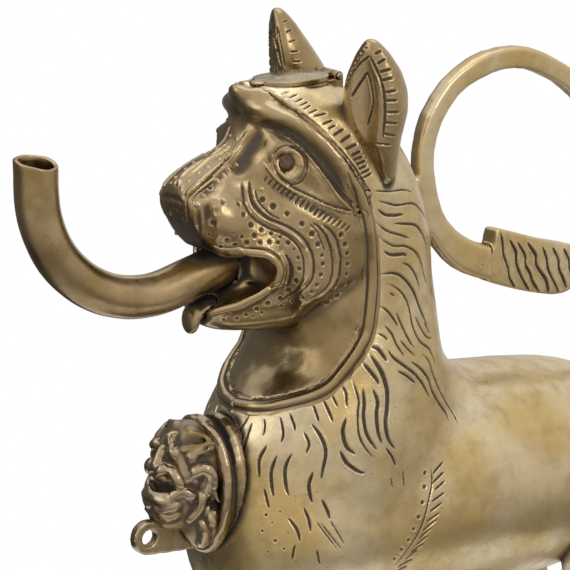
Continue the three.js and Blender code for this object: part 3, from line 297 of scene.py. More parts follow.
# Punched dots on the muzzle and the cheek: x, y and radius
DOTS = (
    (223.5, 202.5, 3), (217, 211.5, 3.4), (213, 223, 3), (239, 204, 2.6), (244, 214.5, 3),
    (251, 225, 3), (208, 235, 1.8), (212.5, 236.5, 1.6), (227, 240, 2.8), (221, 247, 2.4),
    (234, 233.5, 1.4), (242, 237, 2.2), (254.5, 235.5, 3), (235, 244.5, 2.5), (247, 243, 3),
    (260, 242.5, 2.5), (269.5, 242, 2.5), (261.5, 230, 2.5), (271, 233.5, 2.3), (280, 237, 2),
    (278, 242.5, 2.2), (288, 243, 2.8), (294, 249.5, 1.6), (298, 258, 2.2), (299, 269, 2.4),
    (295.5, 280.5, 2.8), (288, 290, 2.8), (280, 298, 2.5), (268, 303, 2.5), (257, 309, 2.5),
    (246, 315, 2), (253, 316.5, 1.5), (224, 320, 2), (237, 318.5, 1.8), (262, 313, 1.6),
    (281, 306, 2), (292, 302, 2), (302, 298, 2.4), (312, 292, 2.5), (317, 285, 2.5),
    (321, 275, 2.6), (323, 264, 2.6), (322, 255.5, 2.2), (318, 244.5, 3), (312, 234, 3.2),
    (302, 224, 3), (287, 214, 3), (273, 206.5, 3.6), (262.5, 199.5, 3.2), (341, 235, 3),
    (345, 244.5, 3), (347, 253.5, 2.6), (347.5, 264, 2.6), (347, 274, 2.6), (344, 285, 2.6),
    (337, 295.5, 2.6), (327, 302.5, 2.6), (358, 326, 1.6), (211, 245, 1.4), (210, 188, 2),
)

# Small raised pearls on and beside the bridge of the nose: x, y and radius
PEARLS = (
    (227, 152.5, 2.4), (207, 167, 2.2), (198, 173, 1.8), (188, 181.5, 2), (182, 187, 2.2),
    (219, 159, 1.6), (237, 138, 1.8), (197, 205, 2.8), (204, 195.5, 2.6), (218, 180.5, 2.6),
    (224.5, 175, 2.8), (230, 170, 2.2), (237, 164.5, 2.4), (261, 189, 2),
)

# Cuts on the ears: the near one's rim and hollow, and the leaf on the far one
NEAR_EAR = (
    (3, (345, 86), (351, 74), (361, 62.5), (369.5, 56)),
    (3.6, (369.5, 56), (375, 67.5), (380, 79), (384, 95), (385, 114), (383, 140)),
    (3, (351, 97.5), (359, 85), (367.5, 72)),
    (3, (367.5, 72), (371, 85), (373, 100), (371, 112.5), (367, 126)),
    (3.2, (375, 54), (381, 50.6)), (3.2, (377.5, 63.8), (385, 59)), (3.4, (380, 72), (391, 69)),
    (3.4, (382.5, 80.6), (392.5, 78)), (3.4, (386, 92.5), (396, 90.6)), (3.4, (386, 101), (397, 100.6)),
    (3.4, (387.5, 112.5), (399, 112.5)), (3.4, (386, 123), (397.5, 123.7)), (3.2, (384, 134), (395, 136)),
    (3, (376, 144), (391, 145)),
    (1.6, (343, 83), (348, 79)), (1.6, (346, 78), (351, 74)), (1.6, (349, 73), (354, 69)),
    (1.6, (352, 68), (356.5, 64)), (1.6, (355, 63), (359, 60)), (1.6, (358, 58), (362, 56)),
    (1.6, (361, 53), (364, 52)), (1.6, (364, 48), (367, 48)),
)
FAR_EAR = (
    (2.4, (277, 26), (276.5, 45), (275, 66)),
    (2.4, (277, 26), (281, 46), (285, 68)),
    (2, (283, 22), (288, 20)), (2, (286, 32), (292, 30)), (2, (289, 42), (296, 40)),
    (2, (291, 52), (298, 51)), (2, (293, 62), (301, 61)),
)

# Grooves between the locks of the tail's tuft
LOCKS = (
    (3, (500.8, 233), (503, 245), (504, 255), (508, 267), (510, 278), (516.7, 290)),
    (3.4, (510, 240), (515.8, 251.7), (516.7, 263), (520, 273), (525, 283), (530.8, 293)),
    (3.4, (518, 242.5), (525, 255), (525.8, 265), (530, 273), (533, 281.7), (540, 293)),
    (4, (528, 243), (535.8, 255), (536.7, 265), (541.7, 273), (546.7, 281.7), (549, 295)),
    (3, (543, 247.5), (546.7, 258), (548, 268), (551.7, 276.7), (556.7, 286.7), (560, 296)),
    (3.4, (553, 248), (558, 258), (559, 268), (562.5, 276.7), (567, 288)),
    (3.4, (564, 249), (569, 259), (570, 269), (573.5, 278), (578, 289)),
    (3.4, (575, 251), (580, 261), (581, 271), (585, 280), (588, 288)),
    (3, (586, 254), (590, 263), (592, 272), (594, 279)),
)

# Rolls of the beast in the chest's mask: brows, nose, eyes, lips, jaw and curls
BEAST_ROLLS = (
    (6, (189, 460), (196, 453), (206, 449), (213, 446.5)),
    (6, (171, 432), (171, 442), (173, 452), (177, 457)),
    (5, (163, 446), (161, 453), (157, 460), (154, 470)),
    (8, (178, 456), (182, 464), (184, 472), (187, 480)),
    (6, (158, 479), (160, 471), (166, 467), (171, 468.5), (175, 475), (179, 483), (183, 488)),
    (
        6.4, (191, 477), (197, 472), (204, 468.5), (209, 472), (208.5, 480), (206, 487), (209, 496),
        (214, 499),
    ),
    (6, (169, 499), (176, 493.5), (183, 491.5), (190, 494), (195, 500)),
    (6, (150, 484), (151, 492), (156, 499), (164, 502), (170, 500)),
    (6, (153, 504), (161, 509), (170, 508), (178, 505)),
    (5, (159, 513), (168, 517), (178, 514)),
    (5, (201, 491), (201.5, 501), (198, 511), (192, 518), (189, 522)),
    (5, (206.5, 505), (209, 515), (213.5, 526)),
    (5, (201, 521), (204.5, 531), (204, 541), (199, 552)),
    (4, (212, 470), (214, 480), (214, 490)),
)

# Raised rim of the mask's plate
PLATE_RIM = (
    8, (188, 424), (200, 423), (212, 430), (221, 443), (226, 458), (229, 477), (228, 497), (225, 512),
    (220, 530), (212, 540),
)

# Short cuts over the brows of the beast in the chest's mask
BEAST_CUTS = ((2, (166, 446), (172, 441)), (2, (172, 449), (178, 444)), (2, (160, 452), (165, 447)))


def linear(text):
    """Turns an sRGB hex value into a linear colour with alpha."""
    parts = [int(text[i:i + 2], 16) / 255 for i in (1, 3, 5)]
    return tuple(c / 12.92 if c <= 0.04045 else ((c + 0.055) / 1.055) ** 2.4 for c in parts) + (1,)


# Meshes

def new_piece(bm, title):
    """Makes an object of a bmesh and frees the bmesh."""
    mesh = bpy.data.meshes.new(title)
    bm.to_mesh(mesh)
    bm.free()
    piece = bpy.data.objects.new(title, mesh)
    bpy.context.scene.collection.objects.link(piece)
    return piece


def node_copy(node, title):
    """Copies a node of the frame, with its loose triangles merged."""
    bm = bmesh.new()
    bm.from_mesh(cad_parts[node].data)
    bmesh.ops.remove_doubles(bm, verts=bm.verts, dist=0.02 * MM)
    return new_piece(bm, title)


def settle(piece):
    """Turns what the modifiers make into the piece's own mesh."""
    graph = bpy.context.evaluated_depsgraph_get()
    done = bpy.data.meshes.new_from_object(piece.evaluated_get(graph))
    piece.modifiers.clear()
    piece.data = done


def remesh(piece, size):
    """Covers the piece with even quads of the given size."""
    skin = piece.modifiers.new("skin", "REMESH")
    skin.mode = "VOXEL"
    skin.voxel_size = size
    settle(piece)


def read(piece):
    """Gives the piece's corners, edges and normals as arrays."""
    mesh = piece.data
    corners = np.empty(len(mesh.vertices) * 3)
    mesh.vertices.foreach_get("co", corners)
    edges = np.empty(len(mesh.edges) * 2, dtype=np.int32)
    mesh.edges.foreach_get("vertices", edges)
    normals = np.empty(len(mesh.vertices) * 3)
    mesh.vertex_normals.foreach_get("vector", normals)
    return corners.reshape(-1, 3), edges.reshape(-1, 2), normals.reshape(-1, 3)


def write(piece, corners):
    piece.data.vertices.foreach_set("co", corners.ravel())
    piece.data.update()


def stamp(piece, name, values):
    """Keeps one number for each corner, for the materials to read."""
    layer = piece.data.attributes.get(name) or piece.data.attributes.new(name, "FLOAT", "POINT")
    layer.data.foreach_set("value", np.asarray(values, dtype=np.float32))


def stamped(piece, name):
    layer = piece.data.attributes.get(name)
    values = np.zeros(len(piece.data.vertices), dtype=np.float32)
    if layer:
        layer.data.foreach_get("value", values)
    return values


def relax(piece, times, share):
    """Draws each corner towards the middle of its neighbours, by its own share."""
    corners, edges, _ = read(piece)
    count = len(corners)
    share = np.broadcast_to(np.asarray(share, dtype=float), (count,))[:, None]
    a, b = edges[:, 0], edges[:, 1]
    links = np.maximum(np.bincount(edges.ravel(), minlength=count), 1)[:, None]
    for _ in range(times):
        mean = np.stack(
            [
                np.bincount(a, corners[b, k], count) + np.bincount(b, corners[a, k], count)
                for k in range(3)
            ],
            axis=1,
        ) / links
        corners = corners + share * (mean - corners)
    write(piece, corners)


def soften(values, piece, times):
    """Spreads numbers on the corners over their neighbours."""
    _, edges, _ = read(piece)
    count = len(values)
    a, b = edges[:, 0], edges[:, 1]
    links = np.maximum(np.bincount(edges.ravel(), minlength=count), 1)
    for _ in range(times):
        mean = (np.bincount(a, values[b], count) + np.bincount(b, values[a], count)) / links
        values = 0.5 * (values + mean)
    return values


def cast_copy(node, title, grid, times, share):
    """Copies a node under an even skin, with the soft edges of a casting."""
    piece = node_copy(node, title)
    remesh(piece, grid)
    relax(piece, times, share)
    return piece


def tree_of(*pieces):
    """One search tree of several objects' faces."""
    bm = bmesh.new()
    for piece in pieces:
        bm.from_mesh(piece.data)
    tree = BVHTree.FromBMesh(bm)
    bm.free()
    return tree


def node_tree(*names):
    """One search tree of several nodes of the frame."""
    return tree_of(*(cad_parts[name] for name in names))


def step(value, low, high):
    """Rises smoothly from 0 at low to 1 at high."""
    t = np.clip((value - low) / (high - low), 0, 1)
    return t * t * (3 - 2 * t)


def distance_to(tree, corners, reach):
    """How far each corner lies from the tree's faces, up to the reach."""
    out = np.full(len(corners), reach)
    for i, p in enumerate(corners):
        hit = tree.find_nearest(Vector(p), reach)
        if hit[0] is not None:
            out[i] = hit[3]
    return out


def sealed_in(tree, corners, normals):
    """True for the corners that faces shut in on all six sides: the inside of the vessel."""
    ways = [Vector(w) for w in ((1, 0, 0), (-1, 0, 0), (0, 1, 0), (0, -1, 0), (0, 0, 1), (0, 0, -1))]
    out = np.zeros(len(corners), dtype=bool)
    for i, (p, n) in enumerate(zip(corners, normals)):
        start = Vector(p + 0.7 * MM * n)
        out[i] = all(tree.ray_cast(start, way)[0] is not None for way in ways)
    return out


def hollowness(tree, corners, normals, reach):
    """The share of directions before each corner that faces close off within the reach."""
    rays = []
    for ring, lean in ((5, 0.45), (8, 0.85)):
        for k in range(ring):
            turn = 2 * math.pi * (k + lean) / ring
            rays.append((math.sin(lean) * math.cos(turn), math.sin(lean) * math.sin(turn), math.cos(lean)))
    out = np.zeros(len(corners))
    for i, (p, n) in enumerate(zip(corners, normals)):
        up = Vector(n)
        side = up.orthogonal().normalized()
        other = up.cross(side)
        start = Vector(p) + 0.8 * MM * up
        for x, y, z in rays:
            hit = tree.ray_cast(start, x * side + y * other + z * up, reach)
            if hit[0] is not None:
                out[i] += 1 - hit[3] / reach * 0.6
    return out / len(rays)


def shade_hollows(piece, around, reach, spread=0):
    """Stamps how far what lies around shuts each corner in, as painted shade and dirt in its hollows."""
    corners, _, normals = read(piece)
    stamp(piece, "hollow_shade", soften(hollowness(around, corners, normals, reach), piece, spread))


def creases(piece, times, full):
    """Adds to the relief what lies lower or higher than the surface round it."""
    corners, _, normals = read(piece)
    level = np.stack([soften(corners[:, k], piece, times) for k in range(3)], axis=1)
    lift = ((corners - level) * normals).sum(axis=1) / full
    stamp(piece, "relief", np.clip(stamped(piece, "relief") + np.clip(lift, -0.9, 0.8), -1, 1))


def drop(piece, gone):
    """Takes the marked corners off the piece, with their faces."""
    bm = bmesh.new()
    bm.from_mesh(piece.data)
    bmesh.ops.delete(bm, geom=[v for v, off in zip(bm.verts, gone) if off], context="VERTS")
    bm.to_mesh(piece.data)
    bm.free()


def merge(piece, other):
    """Joins another object's mesh into the piece."""
    with bpy.context.temp_override(active_object=piece, selected_editable_objects=[piece, other]):
        bpy.ops.object.join()


def draw_in(piece, inside, shift):
    """Moves the inner wall further in, and thins its mesh, so that deep cuts stay in the metal."""
    corners, _, normals = read(piece)
    write(piece, corners + normals * (shift * inside)[:, None])
    group = piece.vertex_groups.new(name="inside")
    group.add([int(i) for i in np.flatnonzero(inside)], 1.0, "REPLACE")
    thin = piece.modifiers.new("thin", "DECIMATE")
    thin.ratio = 1 - 0.95 * inside.mean()
    thin.vertex_group = "inside"
    thin.vertex_group_factor = 1000
    settle(piece)


def dents(piece, seed, size, depth):
    """Gives a hand-worked surface its slight unevenness."""
    corners, _, normals = read(piece)
    p = corners / size + seed * np.array([3.1, 1.7, 2.3])
    wave = (
        np.sin(p @ np.array([1.9, 0.7, 1.1])) * np.sin(p @ np.array([-0.8, 1.6, 1.3]))
        + 0.6 * np.sin(p @ np.array([2.9, -2.1, 1.7]) + 1.3) * np.sin(p @ np.array([1.2, 2.7, -2.3]))
        + 0.4 * np.sin(p @ np.array([-4.1, 3.3, 3.9]) + 0.4) * np.sin(p @ np.array([3.7, 4.3, 2.9]))
    )
    write(piece, corners + normals * (depth * wave)[:, None])


def close_seam(piece):
    """Sinks the thin edge of the piece into the body it is cast on to, so that no gap shows."""
    tree = tree_of(bpy.data.objects.get("body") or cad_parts["body_shell"])
    corners, _, _ = read(piece)
    for i, p in enumerate(corners):
        near, normal, _, _ = tree.find_nearest(Vector(p), 5 * MM)
        if near is None:
            continue
        above = (Vector(p) - near).dot(normal)
        if above > -0.2 * MM:
            sink = (above + 1.2 * MM) * (1 - step(above, 1.1 * MM, 3.2 * MM))
            corners[i] -= np.array(normal) * sink
    write(piece, corners)


def extruded(bm, edges):
    """Extrudes a ring of edges, and gives its new corners and edges."""
    new = bmesh.ops.extrude_edge_only(bm, edges=edges)["geom"]
    verts = [g for g in new if isinstance(g, bmesh.types.BMVert)]
    return verts, [g for g in new if isinstance(g, bmesh.types.BMEdge)]


def path_ways(rows):
    """The direction of travel at each place of a path."""
    ways = [(b - a).normalized() for a, b in zip(rows[:1] + rows, rows[1:] + rows[-1:])]
    return ways[1:2] + ways[1:]


def swept(title, rows, outs, outline, widths):
    """Draws an outline along a path, turned to face outwards all the way."""
    turns = []
    for place, out, way, width in zip(rows, outs, path_ways(rows), widths):
        across = way.cross(out).normalized()
        turn = Matrix((across, way, across.cross(way))).transposed().to_4x4()
        turns.append(Matrix.Translation(place) @ turn @ Matrix.Scale(width, 4))
    bm = bmesh.new()
    ring = [bm.verts.new(turns[0] @ Vector((x, 0, z))) for x, z in outline]
    edges = [bm.edges.new(pair) for pair in zip(ring, ring[1:] + ring[:1])]
    bm.faces.new(ring)
    for before, after in zip(turns, turns[1:]):
        verts, edges = extruded(bm, edges)
        bmesh.ops.transform(bm, verts=verts, matrix=after @ before.inverted())
    bmesh.ops.holes_fill(bm, edges=edges)
    bmesh.ops.recalc_face_normals(bm, faces=bm.faces)
    return new_piece(bm, title)


def finish(piece, body, slot, material, *nodes, crease=None):
    """Shades the piece smooth up to its creases, gives it its material, hides the nodes it stands for, and
    hangs it on its body.
    """
    mesh = piece.data
    mesh.polygons.foreach_set("use_smooth", [True] * len(mesh.polygons))
    if crease:
        mesh.set_sharp_from_angle(angle=math.radians(crease))
    mesh.update()
    mesh.materials.clear()
    mesh.materials.append(material)
    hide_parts(*nodes)
    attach(piece, body)


def eased(node, title, width, body, slot, material):
    """Finishes a copy of a node whose sharp edges are rounded by the given width."""
    piece = node_copy(node, title)
    bm = bmesh.new()
    bm.from_mesh(piece.data)
    flat = [e for e in bm.edges if e.calc_face_angle(1) < 0.02]
    bmesh.ops.dissolve_edges(bm, edges=flat, use_verts=False)
    sharp = [e for e in bm.edges if e.calc_face_angle(0) > 0.7]
    bmesh.ops.bevel(bm, geom=sharp, offset=width, segments=2, profile=0.5, affect="EDGES", material=-1)
    bmesh.ops.triangulate(bm, faces=[f for f in bm.faces if len(f.verts) > 4])
    bm.to_mesh(piece.data)
    bm.free()
    finish(piece, body, slot, material, node, crease=40)


# Marks of the chisel and the punch

def pixel_ray(x, y):
    """The camera's place and the direction in which it sees that pixel."""
    flat = math.cos(ELEVATION)
    back = Vector((math.sin(AZIMUTH) * flat, -math.cos(AZIMUTH) * flat, math.sin(ELEVATION)))
    right = Vector((math.cos(AZIMUTH), math.sin(AZIMUTH), 0))
    up = back.cross(right)
    aim = AIM + PIXEL * ((x - FRAME / 2) * right - (y - FRAME / 2) * up)
    start = AIM + DISTANCE * back
    return start, (aim - start).normalized()


def smooth_path(points, spacing):
    """Points at an even spacing along a soft curve through the given ones."""
    pts = [Vector((p[0], p[1], p[2] if len(p) > 2 else 0)) for p in points]
    full = [2 * pts[0] - pts[1], *pts, 2 * pts[-1] - pts[-2]]
    out = []
    for a, b, c, d in zip(full, full[1:], full[2:], full[3:]):
        steps = max(1, math.ceil((c - b).length / spacing))
        for i in range(steps):
            t = i / steps
            place = 2 * b + t * (c - a) + t * t * (2 * a - 5 * b + 4 * c - d)
            out.append(0.5 * (place + t ** 3 * (3 * b - a - 3 * c + d)))
    return out + [pts[-1]]


class Marks:
    """Points along cuts and ridges on a piece, each with a half width, a depth and a burr."""

    # Nodes that can hide a mark from the camera
    cover_nodes = (
        "body_shell", "face_shell", "ruff_band", "ear_left", "mask_plate", "mask_beast", "spout_tube"
    )

    def __init__(self, piece, cover=None):
        self.tree = tree_of(piece)
        self.cover = cover or node_tree(*self.cover_nodes)
        self.rows = []

    def put(self, place, half, depth, burr):
        self.rows.append((place, half, depth, burr))

    def line(self, places, width, depth, burr=0.14, ends=0.3):
        """A line of marks whose ends run out over a share of its length."""
        total = len(places)
        for i, place in enumerate(places):
            t = (i + 0.5) / total
            full = min(1, t / ends, (1 - t) / ends)
            full = math.sin(0.5 * math.pi * full) ** 0.8
            self.put(place, 0.5 * width * (0.35 + 0.65 * full), depth * full, burr)

    def seen(self, points, spacing=0.8):
        """Where the camera sees a curve of pixels on the piece."""
        places = []
        for p in smooth_path(points, spacing):
            start, way = pixel_ray(p.x, p.y)
            hit, normal, _, _ = self.tree.ray_cast(start, way)
            if hit is None or normal.dot(way) > -0.04:
                continue
            first = self.cover.ray_cast(start, way)[0]
            if first is not None and (first - start).length < (hit - start).length - 4 * MM:
                continue
            if places and (hit - places[-1]).length > 6 * MM:
                continue
            places.append(hit)
        return places

    def near(self, places, reach=8 * MM):
        """Each place moved on to the piece."""
        hits = [self.tree.find_nearest(Vector(p), reach)[0] for p in places]
        return [h for h in hits if h is not None]

    def mirrored(self, places, reach=8 * MM):
        """The same places on the other side of the lion."""
        return self.near([(p.x, -p.y, p.z) for p in places], reach)

    def draw(self, lines, depth, burr=0.14, ends=0.3, widen=1.0):
        """Draws a table of lines, on both sides of the lion."""
        for width, *points in lines:
            places = self.seen(points)
            for row in (places, self.mirrored(places)):
                if len(row) > 1:
                    full = depth * min(1.25, 0.45 + width * 0.16)
                    self.line(row, width * PIXEL * widen, full, burr, ends)

    def punch(self, dots, depth, burr=0.3):
        """Punches a table of dots, on both sides of the lion."""
        for x, y, radius in dots:
            places = self.seen([(x, y), (x + 0.1, y)], 1)[:1]
            for place in places + self.mirrored(places):
                self.put(place, radius * PIXEL, depth * min(1.2, 0.4 + radius * 0.2), burr)

    def index(self):
        tree = kdtree.KDTree(len(self.rows))
        for i, row in enumerate(self.rows):
            tree.insert(row[0], i)
        tree.balance()
        return tree


def refine(piece, marks, reach, times):
    """Splits the faces near the marks, so that cuts come out crisp."""
    index = marks.index()
    bm = bmesh.new()
    bm.from_mesh(piece.data)
    for _ in range(times):
        edges = set()
        for v in bm.verts:
            if index.find(v.co)[2] < reach:
                edges.update(v.link_edges)
        bmesh.ops.subdivide_edges(bm, edges=list(edges), cuts=1, use_grid_fill=True)
        reach *= 0.72
    bmesh.ops.triangulate(bm, faces=[f for f in bm.faces if len(f.verts) > 4])
    bm.to_mesh(piece.data)
    bm.free()
    piece.data.update()


def carve(piece, marks, tint=1.0, soft=0.9):
    """Moves the corners near the marks in or out, and stamps what is cut as low and high relief."""
    index = marks.index()
    # A burr of raised metal runs beside each cut, out to this many half widths
    brink = 1.7
    reach = brink * max(row[1] for row in marks.rows)
    corners, _, normals = read(piece)
    relief = stamped(piece, "relief").astype(float)
    for i, p in enumerate(corners):
        if index.find(Vector(p))[2] > reach:
            continue
        low, high = 0.0, 0.0
        lowest, highest = 0.0, 0.0
        for _, k, gap in index.find_range(Vector(p), reach):
            _, half, depth, burr = marks.rows[k]
            u = gap / half
            if u < 1:
                bowl = (1 - u * u) ** soft
                if depth < 0:
                    low = min(low, depth * bowl)
                    lowest = min(lowest, -bowl * min(1, -depth / (0.35 * MM)))
                else:
                    high = max(high, depth * bowl)
                    highest = max(highest, bowl * min(1, depth / (0.5 * MM)))
            elif u < brink and depth < 0:
                rim = 1 - ((u - 1.35) / 0.35) ** 2
                high = max(high, -depth * burr * rim)
                highest = max(highest, 0.5 * rim * burr / 0.14 * min(1, -depth / (0.4 * MM)))
        if low or high:
            corners[i] += normals[i] * (low if low < 0 else high)
            relief[i] += tint * (lowest if lowest < 0 else highest)
    write(piece, corners)
    stamp(piece, "relief", np.clip(relief, -1, 1))


# Materials

def feed(tree, node, feeds):
    """Sets a node's inputs, by a value or by a link from another node."""
    for name, value in feeds.items():
        if isinstance(value, bpy.types.Node):
            value = value.outputs[0]
        if isinstance(value, bpy.types.NodeSocket):
            tree.links.new(value, node.inputs[name])
        else:
            node.inputs[name].default_value = value


def add(tree, kind, feeds=None, **settings):
    """Adds a node to a tree, with its properties, input values and links."""
    node = tree.nodes.new(kind)
    for name, value in settings.items():
        setattr(node, name, value)
    feed(tree, node, feeds or {})
    return node


def fresh(title):
    """An empty material with its shader on the output."""
    material = bpy.data.materials.new(title)
    material.use_nodes = True
    tree = material.node_tree
    tree.nodes.clear()
    shader = add(tree, "ShaderNodeBsdfPrincipled")
    add(tree, "ShaderNodeOutputMaterial", {"Surface": shader})
    return material, tree, shader


def colours():
    return bpy.context.scene.lion_colours


def sizes():
    return bpy.context.scene.lion_sizes


def brass(title, light, warm, gloss, wear_and_highlight, grit, age, wax):
    """Cast leaded brass, chased and then handled for centuries.

    It gives the eye a soft yellow-grey metal with cloudy tone, brown dirt in every cut, bright
    worn edges, fine pits from the sand of the mould, and short scratches. It also paints shade:
    the grime colour on hollows that other surfaces shut in, and near-black on the most shut-in ones.
    """
    if title in bpy.data.materials:
        return bpy.data.materials[title]
    light, warm, grime_and_shade, deep = (linear(text) for text in (light, warm, colours().grime_and_shade, colours().deep))
    material, tree, shader = fresh(title)
    place = add(tree, "ShaderNodeTexCoord").outputs["Object"]
    relief = add(tree, "ShaderNodeAttribute", attribute_name="relief").outputs["Fac"]
    hollow_shade = add(tree, "ShaderNodeAttribute", attribute_name="hollow_shade").outputs["Fac"]
    scratched = add(
        tree, "ShaderNodeMapping", {"Vector": place, "Rotation": (0.5, 0.35, 0.9), "Scale": (1, 14, 14)}
    )
    # Noise, by its size in mm: clouds of tone as wide as a palm, mottling as wide as a finger, patches
    # of bad casting, the mould's sand, drawn coarse and fine, and scratches
    clouds, mottle, patches, sand, grit_noise, scratches = (
        add(
            tree,
            "ShaderNodeTexNoise",
            {"Vector": where, "Scale": 1 / (size * MM), "Detail": detail, "Roughness": rough},
        )
        for where, size, detail, rough in (
            (place, 38, 5, 0.55), (place, 9, 6, 0.62), (place, 17, 4, 0.55), (place, 1.3, 5, 0.6),
            (place, 0.6, 2, 0.55), (scratched, 6, 3, 0.5),
        )
    )
    # Pits are about 0.4 mm wide and 3 mm apart, and only some patches of the casting have them
    pits = add(tree, "ShaderNodeTexVoronoi", {"Vector": place, "Scale": 1 / (3.1 * MM)})
    cloudy, stained, pitted, patchy, scratch, cut, deep_shade, shade_drawn_as_dirt, grain, rubbed_and_highlight, dull = (
        add(
            tree,
            "ShaderNodeMapRange",
            {"Value": value, "From Min": low, "From Max": high, "To Min": least, "To Max": most},
            interpolation_type="SMOOTHSTEP",
        )
        for value, low, high, least, most in (
            (clouds, 0.36, 0.64, 0, 1),
            (mottle, 0.42, 0.72, 0, 0.35 * age),
            (pits, 0.17, 0.07, 0, 1),
            (patches, 0.5, 0.66, 0, 1),
            (scratches, 0.6, 0.72, 0, 1),
            (relief, -0.08, -0.55, 0, 1),
            (hollow_shade, 0.4, 0.95, 0, 1),
            (hollow_shade, 0.16, 0.62, 0, 0.9),
            (sand, 0.2, 0.5, 0.78, 1),
            (relief, 0.15, 0.7, 0, wear_and_highlight),
            (mottle, 0.3, 0.75, gloss - 0.06, gloss + 0.1),
        )
    )
    pit = add(tree, "ShaderNodeMath", {0: pitted, 1: patchy}, operation="MULTIPLY")
    in_pit = add(tree, "ShaderNodeMath", {0: pit, 1: 0.7}, operation="MULTIPLY")
    # Painted shade: corners shut in by other surfaces take the grime colour like the real dirt in cuts and
    # pits, and the most shut-in ones are painted near-black
    dirt_and_shade = add(tree, "ShaderNodeMath", {0: shade_drawn_as_dirt, 1: cut}, operation="MAXIMUM")
    dirt_and_shade = add(tree, "ShaderNodeMath", {0: dirt_and_shade, 1: in_pit}, operation="MAXIMUM")
    dirt_and_shade = add(tree, "ShaderNodeMath", {0: dirt_and_shade, 1: grain}, operation="MULTIPLY", use_clamp=True)
    tone = light
    for share, colour in (
        (cloudy, warm), (stained, grime_and_shade), (dirt_and_shade, grime_and_shade), (deep_shade, deep), (rubbed_and_highlight, light),
    ):
        tone = add(tree, "ShaderNodeMix", {0: share, 6: tone, 7: colour}, data_type="RGBA").outputs[2]
    for part, amount in ((dirt_and_shade, 0.3), (deep_shade, 0.3), (rubbed_and_highlight, -0.1)):
        dull = add(tree, "ShaderNodeMath", {0: part, 1: amount, 2: dull}, operation="MULTIPLY_ADD")
    height = 0.0
    for part, amount in ((sand, 0.35), (grit_noise, 0.16), (mottle, 0.5), (pit, -0.9), (scratch, -0.12)):
        height = add(
            tree, "ShaderNodeMath", {0: part, 1: amount * grit, 2: height}, operation="MULTIPLY_ADD"
        )
    # Dirt, and the painted shade laid on like dirt, is dull and bare of wax
    waxed, metal = (
        add(
            tree,
            "ShaderNodeMapRange",
            {"Value": dirt_and_shade, "From Min": low, "From Max": high, "To Min": clean, "To Max": dirty},
            interpolation_type="SMOOTHSTEP",
        )
        for low, high, clean, dirty in ((0, 0.6, wax, 0), (0.3, 1, 1, 0.45))
    )
    bump = add(tree, "ShaderNodeBump", {"Height": height, "Strength": 0.55, "Distance": 0.22 * MM})
    feed(
        tree,
        shader,
        {
            "Base Color": tone, "Metallic": metal, "Roughness": dull, "Coat Weight": waxed,
            "Coat Roughness": 0.2, "Normal": bump,
        },
    )
    return material


def neck_brass():
    """Neck, trunk and legs: pale, handled metal, with pits and scratches and little wax."""
    c = colours()
    return brass(
        "cast_brass_body", c.pale_brass, c.worn_brass, gloss=0.31, wear_and_highlight=0.5, grit=1.0, age=0.7, wax=0.2
    )


def face_brass():
    """Face, ears and ruff: brown and glossy with wax, and worn bright on every ridge."""
    c = colours()
    return brass(
        "cast_brass_face", c.dark_brass, c.warm_brass, gloss=0.25, wear_and_highlight=0.8, grit=0.9, age=0.9, wax=0.75
    )


def tail_brass():
    """Tail: pale and satin from the hand that carries the vessel by it."""
    c = colours()
    return brass(
        "cast_brass_tail", c.pale_brass, c.worn_brass, gloss=0.34, wear_and_highlight=0.7, grit=0.9, age=0.5, wax=0.2
    )


def spout_brass():
    """Spout: drawn tube, smoother and browner than what is cast."""
    c = colours()
    return brass(
        "drawn_brass_spout", c.spout_brass, c.warm_brass, gloss=0.28, wear_and_highlight=0.5, grit=0.5, age=0.7, wax=0.5
    )


def mask_brass():
    """Mask: old dirt and painted shade lie between its rolls, which are worn bright, and a painted
    highlight runs along the plate's flange.
    """
    c = colours()
    return brass(
        "dark_brass_mask", c.mask_brass, c.warm_brass, gloss=0.3, wear_and_highlight=0.9, grit=0.8, age=0.9, wax=0.5
    )


def pupil_crust():
    """Dark crust in the bored pupils: an old black fill with rust-brown specks, dull all over."""
    if "pupil_crust" in bpy.data.materials:
        return bpy.data.materials["pupil_crust"]
    material, tree, shader = fresh("pupil_crust")
    place = add(tree, "ShaderNodeTexCoord").outputs["Object"]
    specks = add(tree, "ShaderNodeTexNoise", {"Vector": place, "Scale": 1 / (2.6 * MM), "Detail": 5.0})
    ramp = add(tree, "ShaderNodeValToRGB", {"Fac": specks})
    fill = ((0.5, colours().pupil), (0.66, colours().pupil_rust))
    for element, (position, colour) in zip(ramp.color_ramp.elements, fill):
        element.position = position
        element.color = linear(colour)
    bump = add(tree, "ShaderNodeBump", {"Height": specks, "Strength": 0.8, "Distance": 0.3 * MM})
    feed(tree, shader, {"Base Color": ramp, "Metallic": 0.35, "Roughness": 0.55, "Normal": bump})
    return material


# Settings

